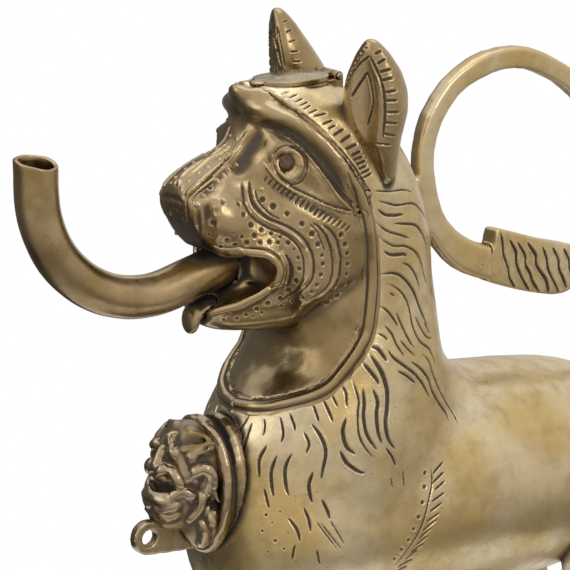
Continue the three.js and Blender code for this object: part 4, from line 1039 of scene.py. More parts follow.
class LionSizes(bpy.types.PropertyGroup):
    """Sizes of the finish and the stage."""

    body_grid: bpy.props.FloatProperty(
        name="Body grid", description="Spacing of the body's mesh", default=2.0 * MM, unit="LENGTH"
    )
    face_grid: bpy.props.FloatProperty(
        name="Face grid", description="Spacing of the face's mesh", default=1.15 * MM, unit="LENGTH"
    )
    fine_grid: bpy.props.FloatProperty(
        name="Fine grid", description="Spacing of the small pieces' mesh", default=0.6 * MM, unit="LENGTH"
    )
    cut_depth: bpy.props.FloatProperty(
        name="Cut depth", description="Depth of the mane's cuts", default=0.7 * MM, unit="LENGTH"
    )
    punch_depth: bpy.props.FloatProperty(
        name="Punch depth", description="Depth of the punched dots", default=0.6 * MM, unit="LENGTH"
    )
    tube_radius: bpy.props.FloatProperty(
        name="Tube radius", description="Outer radius of the spout", default=9.15 * MM, unit="LENGTH"
    )
    tube_wall: bpy.props.FloatProperty(
        name="Tube wall", description="Thickness of the spout's wall", default=1.9 * MM, unit="LENGTH"
    )
    tube_bend: bpy.props.FloatProperty(
        name="Tube bend", description="Radius of the spout's bend", default=52.4 * MM, unit="LENGTH"
    )
    tube_slope: bpy.props.FloatProperty(
        name="Tube slope", description="Fall of the spout from the mouth", default=math.radians(14),
        unit="ROTATION",
    )
    tube_run: bpy.props.FloatProperty(
        name="Tube run", description="Straight length of the spout in the mouth", default=46 * MM,
        unit="LENGTH",
    )
    floor_radius: bpy.props.FloatProperty(
        name="Floor radius", description="Reach of the pale floor", default=0.21, unit="LENGTH"
    )


class LionColours(bpy.types.PropertyGroup):
    """Colours of the finishes, as sRGB hex values."""

    pale_brass: bpy.props.StringProperty(
        name="Pale brass", description="Handled metal of the neck and back", default="#D2C2A1"
    )
    worn_brass: bpy.props.StringProperty(
        name="Worn brass", description="Metal with a thin brown tone", default="#C2A974"
    )
    warm_brass: bpy.props.StringProperty(
        name="Warm brass", description="Yellow-brown metal of the face", default="#8E7749"
    )
    dark_brass: bpy.props.StringProperty(
        name="Dark brass", description="Waxed brown film on the face", default="#AC9570"
    )
    spout_brass: bpy.props.StringProperty(
        name="Spout brass", description="Browner metal of the tube", default="#B39B78"
    )
    mask_brass: bpy.props.StringProperty(
        name="Mask brass", description="Metal of the mask's relief", default="#A8967A"
    )
    # Also painted shade: this colour darkens hollows that other surfaces shut in, besides the real dirt and
    # tarnish in the cuts
    grime_and_shade: bpy.props.StringProperty(
        name="Grime", description="Dirt and tarnish in the cuts", default="#493E31"
    )
    # Painted shade: near-black laid on the most shut-in hollows, where light hardly comes, standing in for
    # shade rather than tarnish
    deep: bpy.props.StringProperty(
        name="Deep hollows", description="Tarnish where light hardly comes", default="#1D1813"
    )
    pupil: bpy.props.StringProperty(
        name="Pupil", description="Dark fill of the eyes", default="#6B5A48"
    )
    pupil_rust: bpy.props.StringProperty(
        name="Pupil rust", description="Rust specks in the eyes", default="#8F6B42"
    )
    floor: bpy.props.StringProperty(
        name="Floor", description="Colour of the floor", default="#F7F6F4"
    )
    room: bpy.props.StringProperty(
        name="Room", description="Dim room that the metal mirrors", default="#FFF8EC"
    )


# Pieces

class LION_OT_body(bpy.types.Operator):
    """Makes the trunk, neck and back of the head, with the mane and the chest's cuts"""

    bl_idname = "lion.body"
    bl_label = "Body"

    def execute(self, context):
        s = sizes()
        body = node_copy("body_shell", "body")
        shells = node_tree("body_shell", "face_shell")
        seams = node_tree("ruff_band", "face_shell", "lid_collar", "belly_patch", "filler_lid")
        mounts = node_tree(*LEGS, "ear_left", "ear_right")
        # The wall is thickened inwards first, as the mesh's grid is too coarse for its thin places
        corners, _, normals = read(body)
        inside = sealed_in(shells, corners, normals)
        gap = distance_to(seams, corners, 12 * MM)
        write(body, corners + normals * (inside * 3.2 * MM * step(gap, 1.5 * MM, 6 * MM))[:, None])
        remesh(body, s.body_grid)
        corners, _, normals = read(body)
        inside = sealed_in(shells, corners, normals)
        gap = distance_to(seams, corners, 12 * MM)
        mount = distance_to(mounts, corners, 6 * MM)
        free = 0.55 * step(gap, 1.5 * MM, 9 * MM) * (0.25 + 0.75 * step(mount, 0.5 * MM, 5 * MM))
        relax(body, 34, np.where(inside, 0.0, free))
        draw_in(body, inside, 2.4 * MM * step(gap, 3 * MM, 9 * MM))
        neighbours = ("face_shell", "mask_plate", "tail_handle", "ear_left", "ear_right")
        shade_hollows(body, tree_of(body, *(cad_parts[n] for n in neighbours)), 26 * MM, 3)
        creases(body, 16, 1.6 * MM)
        dents(body, 1, 11 * MM, 0.1 * MM)
        marks = Marks(body)
        marks.draw(MANE + CHEST, -s.cut_depth)
        marks.punch(CHEST_DOTS, -s.punch_depth)
        marks.draw(BROW_STROKES, -0.8 * s.cut_depth, ends=0.22)
        marks.draw((BROW_GROOVE,), -0.85 * s.cut_depth, ends=0.08)
        refine(body, marks, 2.8 * MM, 2)
        carve(body, marks)
        finish(body, "vessel", "cast_brass", neck_brass(), "body_shell")
        return {"FINISHED"}


def lip_line():
    """The middle of the left lip, as deep as the face beside it."""
    beside = Marks(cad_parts["face_shell"]).seen(LIP_GROOVE[1:], 0.8)
    rows = []
    for p in smooth_path(LIP, 1.5):
        start, way = pixel_ray(p.x, p.y)
        near = min(beside, key=lambda q: (q - start).cross(way).length)
        rows.append(start + way * ((near.y - 0.2 * MM - start.y) / way.y))
    return smooth_path(rows[::2] + rows[-1:], 0.8 * MM)


def in_mouth(corners, lip):
    """How far the corners lie inside the mouth, from 0 at the lips to 1."""
    before_lips = -0.1
    line = np.array([(p.x, p.z) for p in lip] + [(before_lips, lip[-1].z), (before_lips, lip[0].z)])
    x, z = corners[:, 0], corners[:, 2]
    inside = np.zeros(len(corners), dtype=bool)
    for (ax, az), (bx, bz) in zip(line, np.roll(line, -1, axis=0)):
        if az != bz:
            inside ^= ((az > z) != (bz > z)) & (x < (bx - ax) * (z - az) / (bz - az) + ax)
    order = sorted(lip, key=lambda p: p.x)
    width = np.interp(x, [p.x for p in order], [-p.y for p in order])
    return np.where(inside, step(width - np.abs(corners[:, 1]), 1.2 * MM, 5 * MM), 0.0)


def shape_nose(face, inside, lines):
    """Lifts the mouth's roof clear of the spout, and rounds the nose and curves its front back."""
    corners, _, _ = read(face)
    roof = step(corners[:, 2], 245 * MM, 249 * MM) * step(-corners[:, 2], -268 * MM, -254 * MM)
    corners[:, 2] -= 2.2 * MM * roof * step(-corners[:, 0], 44 * MM, 56 * MM)
    write(face, corners)
    tip = np.array((-82, 0, 266)) * MM
    nose = np.where(inside, 0.0, 1 - step(np.linalg.norm(corners - tip, axis=1), 19 * MM, 30 * MM))
    relax(face, 34, 0.55 * nose * (0.35 + 0.65 * step(lines, 1 * MM, 4 * MM)))
    corners, _, normals = read(face)
    corners += normals * (nose * 0.7 * MM)[:, None]
    low = np.clip((282 * MM - corners[:, 2]) / (22 * MM), 0, 1) ** 1.8
    low *= step(corners[:, 2], 246 * MM, 254 * MM) * step(-corners[:, 0], 62 * MM, 78 * MM)
    corners[:, 0] += 8 * MM * low
    write(face, corners)


def shade_face(face, lip):
    """Paints shade into the mouth and the sockets, and darkens the white of each eye."""
    corners, _, normals = read(face)
    around = tree_of(face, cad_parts["body_shell"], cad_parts["spout_tube"])
    # Painted shade: hollows of the face and the inside of the mouth are stamped dark
    shade = soften(hollowness(around, corners, normals, 30 * MM), face, 2)
    shade = np.maximum(shade, soften(0.8 * in_mouth(corners, lip), face, 4))
    # The white of each eye is darkened as well
    eyes = Marks(face)
    eye = eyes.seen(EYE_WHITE, 2)
    for place in eye + eyes.mirrored(eye):
        eyes.put(place, 0, 0, 0)
    index = eyes.index()
    away = np.array([index.find(Vector(p))[2] for p in corners])
    shade = np.maximum(shade, 0.42 * step(-away, -7 * MM, -3 * MM))
    stamp(face, "hollow_shade", np.minimum(shade, 0.8))


def roll_lips(face, lip):
    """Lays the rolled lips on the face, the left one along the given line and the right one mirrored."""
    skin = tree_of(face)
    for i, p in enumerate(lip):
        near, _, _, gap = skin.find_nearest(p)
        lip[i] = p.lerp(near, min(1, gap / (1.2 * MM)))
    while (lip[0] - lip[1]).length > 4 * MM or skin.find_nearest(lip[0])[3] > 1 * MM:
        lip.pop(0)
    for _ in range(4):
        lip = [(a + b + c) / 3 for a, b, c in zip(lip[:1] + lip, lip, lip[1:] + lip[-1:])]
    ring = [(math.cos(t * math.pi / 5) * MM, math.sin(t * math.pi / 5) * MM) for t in range(10)]
    widths = [0.5 + 1.3 * min(1, i / len(lip) * 4) for i in range(len(lip))]
    for side in (LEFT, RIGHT):
        rows = [Vector((p.x, -side * p.y, p.z)) for p in lip]
        outs = [Vector((-0.35, side, 0)).normalized()] * len(rows)
        roll = swept("lip", rows, outs, ring, widths)
        stamp(roll, "relief", [0.6] * len(roll.data.vertices))
        merge(face, roll)


class LION_OT_face(bpy.types.Operator):
    """Makes the face: muzzle, lips, cheeks, eyes and brows, with their lines and dots"""

    bl_idname = "lion.face"
    bl_label = "Face"

    def execute(self, context):
        s = sizes()
        face = node_copy("face_shell", "face")
        remesh(face, s.face_grid)
        corners, _, normals = read(face)
        inside = sealed_in(node_tree("body_shell", "face_shell"), corners, normals)
        # The muzzle's inner wall would show through its thinned skin
        gone = inside & (corners[:, 0] < -54 * MM) & (corners[:, 2] > 256 * MM)
        drop(face, gone)
        corners, inside = corners[~gone], inside[~gone]
        broad = Marks(face)
        for width, height, *points in FACE_FORMS:
            places = broad.seen(points, 2)
            for row in (places, broad.mirrored(places)):
                if len(row) > 1:
                    broad.line(row, 1.5 * width * PIXEL, height * MM, 0, 0.4)
        marks = Marks(face)
        marks.draw(FACE_RIDGES + (LIP_GROOVE,), 1)
        crisp = marks.index()
        lines = np.array([crisp.find(Vector(p))[2] for p in corners])
        seam = distance_to(node_tree("ruff_band", "body_shell", "lid_collar"), corners, 8 * MM)
        held = np.where(inside, 0.0, step(seam, 0.8 * MM, 4 * MM))
        relax(face, 22, held * (0.2 + 0.35 * step(lines, 1.5 * MM, 6 * MM)))
        shape_nose(face, inside, lines)
        # Painted shade: with a tint of 0.3 the broad hollows, such as the sockets and under the brow, are
        # also stamped darker in the relief, and the broad swells lighter
        carve(face, broad, 0.3, 2)
        relax(face, 3, 0.4 * held)
        lip = lip_line()
        corners, _, _ = read(face)
        deep = inside & (in_mouth(corners, lip) == 0)
        draw_in(face, deep, 2.5 * MM * step(seam, 3 * MM, 7 * MM) * step(corners[:, 2], 264 * MM, 272 * MM))
        shade_face(face, lip)
        creases(face, 12, 0.7 * MM)
        dents(face, 2, 7 * MM, 0.08 * MM)
        marks = Marks(face)
        marks.draw(FACE_GROOVES, -0.85 * s.cut_depth, ends=0.08)
        marks.draw(FACE_RIDGES, 0.85 * MM, ends=0.08, widen=1.55)
        marks.draw(FOLDS, -0.9 * s.cut_depth, ends=0.35, widen=1.3)
        marks.draw(BROW_STROKES + LID_STROKES, -0.8 * s.cut_depth, ends=0.22)
        marks.punch(DOTS, -s.punch_depth)
        marks.punch(PEARLS, 0.75 * MM)
        refine(face, marks, 1.8 * MM, 1)
        carve(face, marks)
        roll_lips(face, lip)
        finish(face, "vessel", "cast_brass", face_brass(), "face_shell")
        return {"FINISHED"}


def ruff_line():
    """Places and outward ways along the band's middle, from one brow to the other."""
    shells = Marks(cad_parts["ruff_band"])
    shells.tree = node_tree("ruff_band", "body_shell", "face_shell")
    left = shells.seen(RUFF, 6)
    rows = smooth_path(left + [Vector((p.x, -p.y, p.z)) for p in reversed(left)], 1.2 * MM)
    outs = [shells.tree.find_nearest(p)[1] for p in rows]
    for _ in range(12):
        outs = [
            (a + 2 * b + c).normalized() for a, b, c in zip(outs[:1] + outs, outs, outs[1:] + outs[-1:])
        ]
    return rows, outs


class LION_OT_ruff(bpy.types.Operator):
    """Makes the raised band that frames the face"""

    bl_idname = "lion.ruff"
    bl_label = "Ruff"

    def execute(self, context):
        rows, outs = ruff_line()
        # Half of the band's outline, from its crown over the groove beside it to its foot: across, up,
        # and how worn or dirty it is there
        half = (
            (0, 1.2, 0.4), (0.9, 1.1, 0.35), (1.55, 0.75, 0.2), (1.95, 0.1, -0.2), (2.2, -0.35, -1),
            (2.5, -0.3, -0.9), (2.8, 0.02, 0.1), (3.4, 0.02, 0), (4.3, -0.3, 0), (5, -2, 0),
        )
        outline = [(-x, z, tone) for x, z, tone in reversed(half)] + list(half[1:])
        widths = [min(1, 0.3 + 0.045 * min(i, len(rows) - 1 - i)) for i in range(len(rows))]
        ruff = swept("ruff", rows, outs, [(x * MM, z * MM) for x, z, _ in outline], widths)
        corners, _, _ = read(ruff)
        shells = node_tree("body_shell", "face_shell")
        across, up, tone = np.array(outline)[np.arange(len(corners)) % len(outline)].T
        # The foot of the band lies on the lion's skin
        for i in np.flatnonzero((np.abs(across) > 2.7) & (np.abs(across) < 4.5)):
            place, normal, _, gap = shells.find_nearest(Vector(corners[i]))
            if gap < 3 * MM:
                corners[i] = place + normal * (up[i] + 0.06) * MM
        write(ruff, corners)
        stamp(ruff, "relief", tone)
        finish(ruff, "vessel", "cast_brass", face_brass(), "ruff_band")
        return {"FINISHED"}


class LION_OT_eyes(bpy.types.Operator):
    """Makes the two dark pupils"""

    bl_idname = "lion.eyes"
    bl_label = "Eyes"

    def execute(self, context):
        for side in ("left", "right"):
            pupil = cast_copy(f"pupil_{side}", f"pupil_fill_{side}", 0.35 * MM, 4, 0.4)
            dents(pupil, 4, 1.6 * MM, 0.12 * MM)
            finish(pupil, "vessel", "pupil_inlay", pupil_crust(), f"pupil_{side}")
        return {"FINISHED"}


class LION_OT_ears(bpy.types.Operator):
    """Makes the cupped ears, with the cuts on their rims and in their hollows"""

    bl_idname = "lion.ears"
    bl_label = "Ears"

    def execute(self, context):
        s = sizes()
        made = {}
        for side in ("left", "right"):
            ear = cast_copy(f"ear_{side}", f"ear_cup_{side}", 0.8 * MM, 18, 0.5)
            if side == "left":
                # The near ear leans forward, most of all at the middle of its front edge
                corners, _, _ = read(ear)
                rise = step(corners[:, 2], 288 * MM, 306 * MM)
                top = step(corners[:, 2], 318 * MM, 346 * MM)
                front = step(-corners[:, 0], -4 * MM, 9 * MM)
                corners[:, 0] -= (2.2 * rise + 3.8 * rise * front * (1 - top)) * MM
                write(ear, corners)
            shade_hollows(ear, tree_of(ear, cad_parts["body_shell"]), 18 * MM, 3)
            creases(ear, 12, 0.5 * MM)
            made[side] = ear
        near, far = Marks(made["left"]), Marks(made["right"])
        for marks, lines, other in ((near, NEAR_EAR, far), (far, FAR_EAR, None)):
            for width, *points in lines:
                places = marks.seen(points)
                copied = other.mirrored(places, 12 * MM) if other else []
                for owner, row in ((marks, places), (other, copied)):
                    if len(row) > 1:
                        owner.line(row, width * PIXEL, -1.05 * s.cut_depth, 0.2, 0.15)
        for side, marks in (("left", near), ("right", far)):
            refine(made[side], marks, 1.3 * MM, 1)
            carve(made[side], marks)
            close_seam(made[side])
            finish(made[side], "vessel", "cast_brass", face_brass(), f"ear_{side}")
        return {"FINISHED"}


class LION_OT_tongue(bpy.types.Operator):
    """Makes the tongue that hangs over the lower lip"""

    bl_idname = "lion.tongue"
    bl_label = "Tongue"

    def execute(self, context):
        tongue = cast_copy("tongue", "tongue_tab", sizes().fine_grid, 8, 0.5)
        shade_hollows(tongue, node_tree("face_shell", "spout_tube"), 16 * MM)
        finish(tongue, "vessel", "dark_brass", mask_brass(), "tongue")
        return {"FINISHED"}


def bent_tube(centre, top):
    """The spout's wall as one sheet: out of the mouth, round its bend, and up to the rim."""
    s = sizes()
    bm = bmesh.new()
    start = centre + s.tube_bend * Vector((math.sin(s.tube_slope), 0, -math.cos(s.tube_slope)))
    way = Vector((math.cos(s.tube_slope), 0, math.sin(s.tube_slope)))
    turn = way.to_track_quat("Z", "Y").to_matrix().to_4x4()
    ring = bmesh.ops.create_circle(
        bm, segments=72, radius=s.tube_radius, matrix=Matrix.Translation(start + s.tube_run * way) @ turn
    )["verts"]
    edges = list({e for v in ring for e in v.link_edges})
    run_rows, rise_rows = 12, 5
    for _ in range(run_rows):
        verts, edges = extruded(bm, edges)
        bmesh.ops.translate(bm, verts=verts, vec=-s.tube_run / run_rows * way)
    spun = bmesh.ops.spin(
        bm,
        geom=edges + list({v for e in edges for v in e.verts}),
        cent=centre,
        axis=(0, 1, 0),
        angle=math.pi / 2 + s.tube_slope,
        steps=48,
        use_merge=False,
    )["geom_last"]
    edges = [g for g in spun if isinstance(g, bmesh.types.BMEdge)]
    for _ in range(rise_rows):
        verts, edges = extruded(bm, edges)
        bmesh.ops.translate(bm, verts=verts, vec=(0, 0, (top - centre.z) / rise_rows))
    bmesh.ops.remove_doubles(bm, verts=bm.verts, dist=0.01 * MM)
    bmesh.ops.recalc_face_normals(bm, faces=bm.faces)
    return new_piece(bm, "spout_pipe")


class LION_OT_spout(bpy.types.Operator):
    """Makes the drawn tube that climbs out of the mouth and turns up to its rim"""

    bl_idname = "lion.spout"
    bl_label = "Spout"

    def execute(self, context):
        s = sizes()
        low, high = (Vector(c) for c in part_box("spout_tube"))
        bend_height = 296 * MM
        axis = low.x + s.tube_radius + 0.15 * MM
        centre = Vector((axis + s.tube_bend, 0, bend_height))
        spout = bent_tube(centre, high.z - 0.1 * MM)
        wall = spout.modifiers.new("wall", "SOLIDIFY")
        wall.thickness = s.tube_wall
        wall.offset = -1
        settle(spout)
        bm = bmesh.new()
        bm.from_mesh(spout.data)
        rim = [e for e in bm.edges if e.calc_face_angle(0) > 1.0]
        bmesh.ops.bevel(
            bm, geom=rim, offset=0.5 * MM, segments=3, profile=0.5, affect="EDGES", material=-1
        )
        bm.to_mesh(spout.data)
        bm.free()
        # The rim is filed by hand: it falls away to one side and is a little wavy
        corners, _, normals = read(spout)
        top = high.z - 2.4 * MM
        angle = np.arctan2(corners[:, 1], corners[:, 0] - axis)
        filed = 1.5 * np.sin(angle) - 0.9 * np.cos(angle) + 0.3 * np.sin(2 * angle + 0.6) - 0.4
        filed += 0.14 * np.sin(5 * angle)
        corners[:, 2] += filed * MM * step(corners[:, 2], top - 8 * MM, top + 2 * MM)
        write(spout, corners)
        stamp(spout, "relief", np.where(corners[:, 2] > top, 0.5, 0.0))
        # Painted shade: the bore is darkened below its rim, and the tube where the face shuts it in
        across = np.hypot(corners[:, 0] - axis, corners[:, 1])
        bore = (across < s.tube_radius - 0.7 * s.tube_wall) & (corners[:, 2] > centre.z - 12 * MM)
        bore &= corners[:, 0] < centre.x - 0.9 * s.tube_bend
        shade = 0.7 * bore * step(centre.z + 12 * MM - corners[:, 2], 2 * MM, 14 * MM)
        stamp(spout, "hollow_shade", hollowness(node_tree("face_shell"), corners, normals, 18 * MM) + shade)
        dents(spout, 5, 9 * MM, 0.07 * MM)
        finish(spout, "vessel", "drawn_brass", spout_brass(), "spout_tube", crease=50)
        return {"FINISHED"}


def cut_toes(leg):
    """Cuts three grooves over the front of the paw."""
    corners, _, _ = read(leg)
    foot = corners[corners[:, 2] < 9 * MM]
    front, y = foot[:, 0].min(), 0.5 * (foot[:, 1].min() + foot[:, 1].max())
    half = 0.5 * (foot[:, 1].max() - foot[:, 1].min())
    marks = Marks(leg)
    for k in (-1, 0, 1):
        path = [
            Vector((front + back * MM, y + spread * k * half, height * MM))
            for back, spread, height in ((1, 0.46, 2), (1, 0.46, 8), (7, 0.42, 15), (14, 0.36, 20))
        ]
        marks.line(marks.near(smooth_path(path, 0.5 * MM), 14 * MM), 2.6 * MM, -1.3 * MM, 0.1, 0.12)
    refine(leg, marks, 2.6 * MM, 1)
    carve(leg, marks)


class LION_OT_legs(bpy.types.Operator):
    """Makes the four legs, with toes cut into the paws"""

    bl_idname = "lion.legs"
    bl_label = "Legs"

    def execute(self, context):
        for node in LEGS:
            leg = node_copy(node, f"{node}_cast")
            remesh(leg, 1.3 * MM)
            corners, _, _ = read(leg)
            relax(leg, 12, 0.5 * step(corners[:, 2], 0.4 * MM, 3 * MM))
            shade_hollows(leg, tree_of(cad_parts["body_shell"], leg), 20 * MM, 3)
            dents(leg, 6, 10 * MM, 0.1 * MM)
            cut_toes(leg)
            close_seam(leg)
            corners, _, _ = read(leg)
            corners[:, 2] = np.maximum(corners[:, 2], 0)
            write(leg, corners)
            finish(leg, "vessel", "cast_brass", neck_brass(), node)
        return {"FINISHED"}


class LION_OT_tail(bpy.types.Operator):
    """Makes the tail that is the handle, its tuft, and the pins that hold it"""

    bl_idname = "lion.tail"
    bl_label = "Tail"

    def execute(self, context):
        s = sizes()
        handle = cast_copy("tail_handle", "tail_band", 0.9 * MM, 5, 0.45)
        # The band broadens into its tuft
        corners, _, _ = read(handle)
        low = step(-corners[:, 2], -264 * MM, -252 * MM)
        root = step(corners[:, 0], 54 * MM, 78 * MM) - 1.6 * step(corners[:, 0], 81 * MM, 83 * MM)
        corners[:, 1] *= 1 + 0.3 * root * low * step(-corners[:, 0], -98 * MM, -92 * MM)
        write(handle, corners)
        creases(handle, 16, 0.9 * MM)
        dents(handle, 7, 12 * MM, 0.14 * MM)
        finish(handle, "vessel", "cast_brass", tail_brass(), "tail_handle")
        # The tuft is made solid: the end of the band fills the pocket that holds it
        tuft = node_copy("tail_tuft", "tail_lock")
        core = node_copy("tail_handle", "tail_core")
        corners, _, normals = read(core)
        write(core, corners + 0.4 * MM * normals)
        merge(tuft, core)
        remesh(tuft, s.fine_grid)
        corners, _, _ = read(tuft)
        drop(tuft, distance_to(node_tree("tail_tuft"), corners, 3 * MM) > 1.4 * MM)
        relax(tuft, 7, 0.45)
        creases(tuft, 12, 0.6 * MM)
        marks = Marks(tuft, node_tree("tail_handle"))
        marks.draw(LOCKS, -0.95 * MM, burr=0.25, ends=0.12, widen=1.25)
        refine(tuft, marks, 1.4 * MM, 1)
        carve(tuft, marks)
        finish(tuft, "vessel", "cast_brass", tail_brass(), "tail_tuft")
        for end in ("nape", "rump"):
            eased(f"{end}_pin", f"{end}_rivet", 0.25 * MM, "vessel", "cast_brass", tail_brass())
        return {"FINISHED"}


def mask_plate():
    """The mask's plate: a rim in front, a groove round its side, and a flange that lies on the chest."""
    plate = cast_copy("mask_plate", "mask_frame", 0.7 * MM, 3, 0.35)
    corners, _, _ = read(plate)
    depth = corners[:, 0]
    flange = np.exp(-(((depth + 65.5 * MM) / (2.2 * MM)) ** 2))
    rim = step(-depth, 70.5 * MM, 74 * MM)
    for k, middle in ((1, 0), (2, MASK_HEIGHT)):
        corners[:, k] = middle + (corners[:, k] - middle) * (0.96 + 0.035 * flange + 0.06 * rim)
    write(plate, corners)
    # Painted light stamped into the relief by the way the plate's faces turn: a little painted shade on its
    # side, and a painted highlight along its flange
    _, _, normals = read(plate)
    side = step(normals[:, 0], -0.8, -0.45)
    stamp(plate, "relief", side * (-0.15 + 0.5 * flange + 0.3 * rim))
    marks = Marks(plate, tree_of(plate))
    marks.draw((PLATE_RIM,), 0.8 * MM, ends=0.1, widen=1.2)
    carve(plate, marks, 1.8)
    relax(plate, 2, 0.5)
    return plate


def mask_beast():
    """The beast in the mask, swelled out so that its rolls reach the rim."""
    beast = cast_copy("mask_beast", "mask_head", 0.5 * MM, 80, 0.5)
    middle = np.array((0, 0, MASK_HEIGHT))
    corners, _, _ = read(beast)
    write(beast, (corners - middle) * (1, 1.13, 1.08) + middle)
    marks = Marks(beast, tree_of(beast))
    marks.draw(BEAST_ROLLS, 1.75 * MM, ends=0.2, widen=2.15)
    stamp(beast, "relief", [-0.3] * len(beast.data.vertices))
    carve(beast, marks, 0.9, 1.1)
    relax(beast, 9, 0.5)
    marks = Marks(beast, tree_of(beast))
    marks.draw(BEAST_CUTS, -0.6 * MM, ends=0.2)
    carve(beast, marks)
    return beast


class LION_OT_mask(bpy.types.Operator):
    """Makes the oval mask on the chest, the beast that looks out of it, and its eyelet"""

    bl_idname = "lion.mask"
    bl_label = "Mask"

    def execute(self, context):
        around = node_tree("mask_plate", "mask_beast", "mask_eyelet")
        pieces = {
            "mask_plate": mask_plate(),
            "mask_beast": mask_beast(),
            "mask_eyelet": cast_copy("mask_eyelet", "mask_lug", 0.55 * MM, 6, 0.4),
        }
        for node, piece in pieces.items():
            shade_hollows(piece, around, 9 * MM, 2)
            creases(piece, 20, 0.4 * MM)
            dents(piece, 8, 4 * MM, 0.06 * MM)
            finish(piece, "vessel", "dark_brass", mask_brass(), node)
        return {"FINISHED"}


class LION_OT_lid(bpy.types.Operator):
    """Makes the filler's collar on the crown, its hinged lid, and the hinge's pin"""

    bl_idname = "lion.lid"
    bl_label = "Lid"

    def execute(self, context):
        eased("lid_collar", "filler_collar", 0.3 * MM, "vessel", "cast_brass", face_brass())
        eased("filler_lid", "filler_flap", 0.35 * MM, "lid", "cast_brass", face_brass())
        eased("lid_pin", "filler_pin", 0.2 * MM, "vessel", "dark_brass", mask_brass())
        return {"FINISHED"}


class LION_OT_patch(bpy.types.Operator):
    """Makes the plate let into the belly"""

    bl_idname = "lion.patch"
    bl_label = "Belly patch"

    def execute(self, context):
        eased("belly_patch", "belly_plate", 0.4 * MM, "vessel", "cast_brass", neck_brass())
        return {"FINISHED"}


def board_floor():
    """Matt white board: it takes a soft shadow and nothing else."""
    s = sizes()
    paper, tree, shader = fresh("matt_board_floor")
    feed(tree, shader, {"Base Color": linear(colours().floor), "Roughness": 0.9})
    # Towards its edge the board is burnt out by the light, so that it ends in the white of the room
    place = add(tree, "ShaderNodeTexCoord").outputs["Object"]
    reach = add(tree, "ShaderNodeVectorMath", {0: place}, operation="LENGTH").outputs["Value"]
    burnt = add(
        tree,
        "ShaderNodeMapRange",
        {"Value": reach, "From Min": 0.6 * s.floor_radius, "From Max": 0.98 * s.floor_radius},
        interpolation_type="SMOOTHSTEP",
    )
    white = add(tree, "ShaderNodeEmission", {"Color": (1, 1, 1, 1), "Strength": 1.0})
    both = add(tree, "ShaderNodeMixShader", {0: burnt, 1: shader, 2: white})
    feed(tree, tree.nodes["Material Output"], {"Surface": both})
    bm = bmesh.new()
    bmesh.ops.create_circle(bm, cap_ends=True, segments=96, radius=s.floor_radius)
    floor = new_piece(bm, "floor")
    floor.data.materials.append(paper)
    return floor


def dim_studio():
    """Dim studio round the table: polished metal mirrors it as its dark half."""
    dim, tree, shader = fresh("dim_studio")
    tree.nodes.remove(shader)
    place = add(tree, "ShaderNodeTexCoord").outputs["Object"]
    axes = add(tree, "ShaderNodeSeparateXYZ", {"Vector": place})
    flat = add(tree, "ShaderNodeCombineXYZ", {"X": axes.outputs["X"], "Y": axes.outputs["Y"]})
    away = add(tree, "ShaderNodeVectorMath", {0: flat}, operation="LENGTH").outputs["Value"]
    # The light grows from the table's edge outwards and up
    along = add(tree, "ShaderNodeMath", {0: away, 1: axes.outputs["Z"]}, operation="ADD")
    share = add(tree, "ShaderNodeMapRange", {"Value": along, "From Min": 0.2, "From Max": 3.6})
    ramp = add(tree, "ShaderNodeValToRGB", {"Fac": share})
    levels = (
        (0.0, 0.28), (0.05, 0.34), (0.1, 0.52), (0.18, 0.66), (0.34, 0.7), (0.54, 0.73), (0.73, 0.83),
        (1.0, 1.0),
    )
    ramp.color_ramp.elements[0].color = (levels[0][1],) * 3 + (1,)
    ramp.color_ramp.elements[1].color = (levels[-1][1],) * 3 + (1,)
    for spot, level in levels[1:-1]:
        ramp.color_ramp.elements.new(spot).color = (level,) * 3 + (1,)
    # A black flag stands behind the lion's far cheek
    facing = add(tree, "ShaderNodeVectorMath", {0: flat}, operation="NORMALIZE")
    toward = add(tree, "ShaderNodeVectorMath", {0: facing, 1: (-0.4, 0.92, 0)}, operation="DOT_PRODUCT")
    flag = add(
        tree,
        "ShaderNodeMapRange",
        {"Value": toward.outputs["Value"], "From Min": 0.3, "From Max": 0.8, "To Min": 1.0, "To Max": 0.2},
        interpolation_type="SMOOTHSTEP",
    )
    strength = add(tree, "ShaderNodeMath", {0: ramp, 1: flag}, operation="MULTIPLY")
    glow = add(tree, "ShaderNodeEmission", {"Color": linear(colours().room), "Strength": strength})
    feed(tree, tree.nodes["Material Output"], {"Surface": glow})
    return dim


def studio_walls():
    """Ground and wall of the studio round the floor, which only reflections see."""
    ground, wall, height = -0.05, -2.1, 1.5
    bm = bmesh.new()
    outline = ((0, -sizes().floor_radius - 0.02, ground), (0, wall, ground), (0, wall, height))
    first = [bm.verts.new(p) for p in outline]
    edges = [bm.edges.new(pair) for pair in zip(first, first[1:])]
    bmesh.ops.spin(
        bm, geom=edges + first, cent=(0, 0, 0), axis=(0, 0, 1), angle=2 * math.pi, steps=72,
        use_merge=True,
    )
    room = new_piece(bm, "studio_walls")
    room.data.materials.append(dim_studio())
    room.visible_camera = False
    room.visible_shadow = False
    room.visible_diffuse = False
    return room


def place_lamps(scene):
    """Three softboxes, each aimed at the middle of the lion: place, width and power."""
    middle = Vector((0, 0, 0.2))
    for name, place, width, power in (
        ("top_softbox", (0.3, 0.2, 1.75), 1.3, 5.4),
        ("left_softbox", (-1.45, 0.39, 0.9), 1.0, 3.8),
        ("front_softbox", (0.13, -1.5, 1.1), 0.7, 4.2),
    ):
        light = bpy.data.lights.new(name, "AREA")
        light.size = width
        light.energy = power
        lamp = bpy.data.objects.new(name, light)
        lamp.location = place
        lamp.rotation_euler = (Vector(place) - middle).to_track_quat("Z", "Y").to_euler()
        scene.collection.objects.link(lamp)


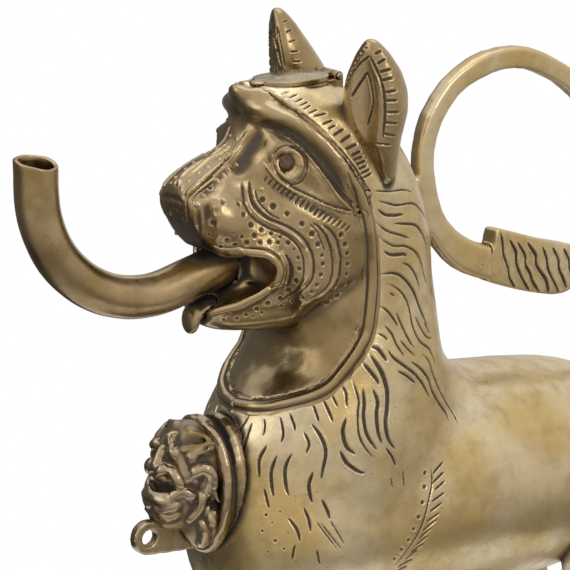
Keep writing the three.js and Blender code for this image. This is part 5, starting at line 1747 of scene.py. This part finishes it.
def light_world(scene):
    """White behind the lion for the camera and for mirrors, and a softer white as its light."""
    scene.world = scene.world or bpy.data.worlds.new("studio")
    scene.world.use_nodes = True
    tree = scene.world.node_tree
    tree.nodes.clear()
    path = add(tree, "ShaderNodeLightPath").outputs
    seen = path["Is Camera Ray"]
    for ray in ("Is Glossy Ray", "Is Transmission Ray"):
        seen = add(tree, "ShaderNodeMath", {0: seen, 1: path[ray]}, operation="MAXIMUM")
    soft = add(tree, "ShaderNodeBackground", {"Color": (1, 1, 1, 1), "Strength": 0.75})
    white = add(tree, "ShaderNodeBackground", {"Color": (1, 1, 1, 1), "Strength": 1.0})
    both = add(tree, "ShaderNodeMixShader", {0: seen, 1: soft, 2: white})
    add(tree, "ShaderNodeOutputWorld", {"Surface": both})


def place_camera(scene):
    lens = bpy.data.cameras.new("camera")
    lens.sensor_width = 36
    lens.lens = lens.sensor_width * DISTANCE / (FRAME * PIXEL)
    camera = bpy.data.objects.new("camera", lens)
    start, _ = pixel_ray(FRAME / 2, FRAME / 2)
    camera.location = start
    camera.rotation_euler = (start - AIM).to_track_quat("Z", "Y").to_euler()
    scene.collection.objects.link(camera)
    scene.camera = camera


class LION_OT_stage(bpy.types.Operator):
    """Sets the floor, the room that the metal mirrors, the lights and the camera"""

    bl_idname = "lion.stage"
    bl_label = "Stage"

    def execute(self, context):
        board_floor()
        studio_walls()
        place_lamps(context.scene)
        light_world(context.scene)
        place_camera(context.scene)
        context.scene.view_settings.view_transform = "Standard"
        return {"FINISHED"}


PIECES = (
    LION_OT_body,
    LION_OT_face,
    LION_OT_ruff,
    LION_OT_eyes,
    LION_OT_ears,
    LION_OT_tongue,
    LION_OT_spout,
    LION_OT_legs,
    LION_OT_tail,
    LION_OT_mask,
    LION_OT_lid,
    LION_OT_patch,
    LION_OT_stage,
)


class LION_PT_panel(bpy.types.Panel):
    """Lists the sizes, the colours and the pieces"""

    bl_idname = "LION_PT_panel"
    bl_label = "Lion Aquamanile"
    bl_space_type = "VIEW_3D"
    bl_region_type = "UI"
    bl_category = "Lion Aquamanile"

    def draw(self, context):
        for group in (context.scene.lion_sizes, context.scene.lion_colours):
            box = self.layout.box()
            for name in group.__annotations__:
                box.prop(group, name)
        for piece in PIECES:
            self.layout.operator(piece.bl_idname)


CLASSES = (LionSizes, LionColours, *PIECES, LION_PT_panel)


def register():
    for cls in CLASSES:
        bpy.utils.register_class(cls)
    bpy.types.Scene.lion_sizes = bpy.props.PointerProperty(type=LionSizes)
    bpy.types.Scene.lion_colours = bpy.props.PointerProperty(type=LionColours)


def unregister():
    del bpy.types.Scene.lion_sizes
    del bpy.types.Scene.lion_colours
    for cls in reversed(CLASSES):
        bpy.utils.unregister_class(cls)


def main():
    register()
    for piece in PIECES:
        getattr(bpy.ops.lion, piece.bl_idname.split(".")[1])()


if __name__ == "__main__":
    main()
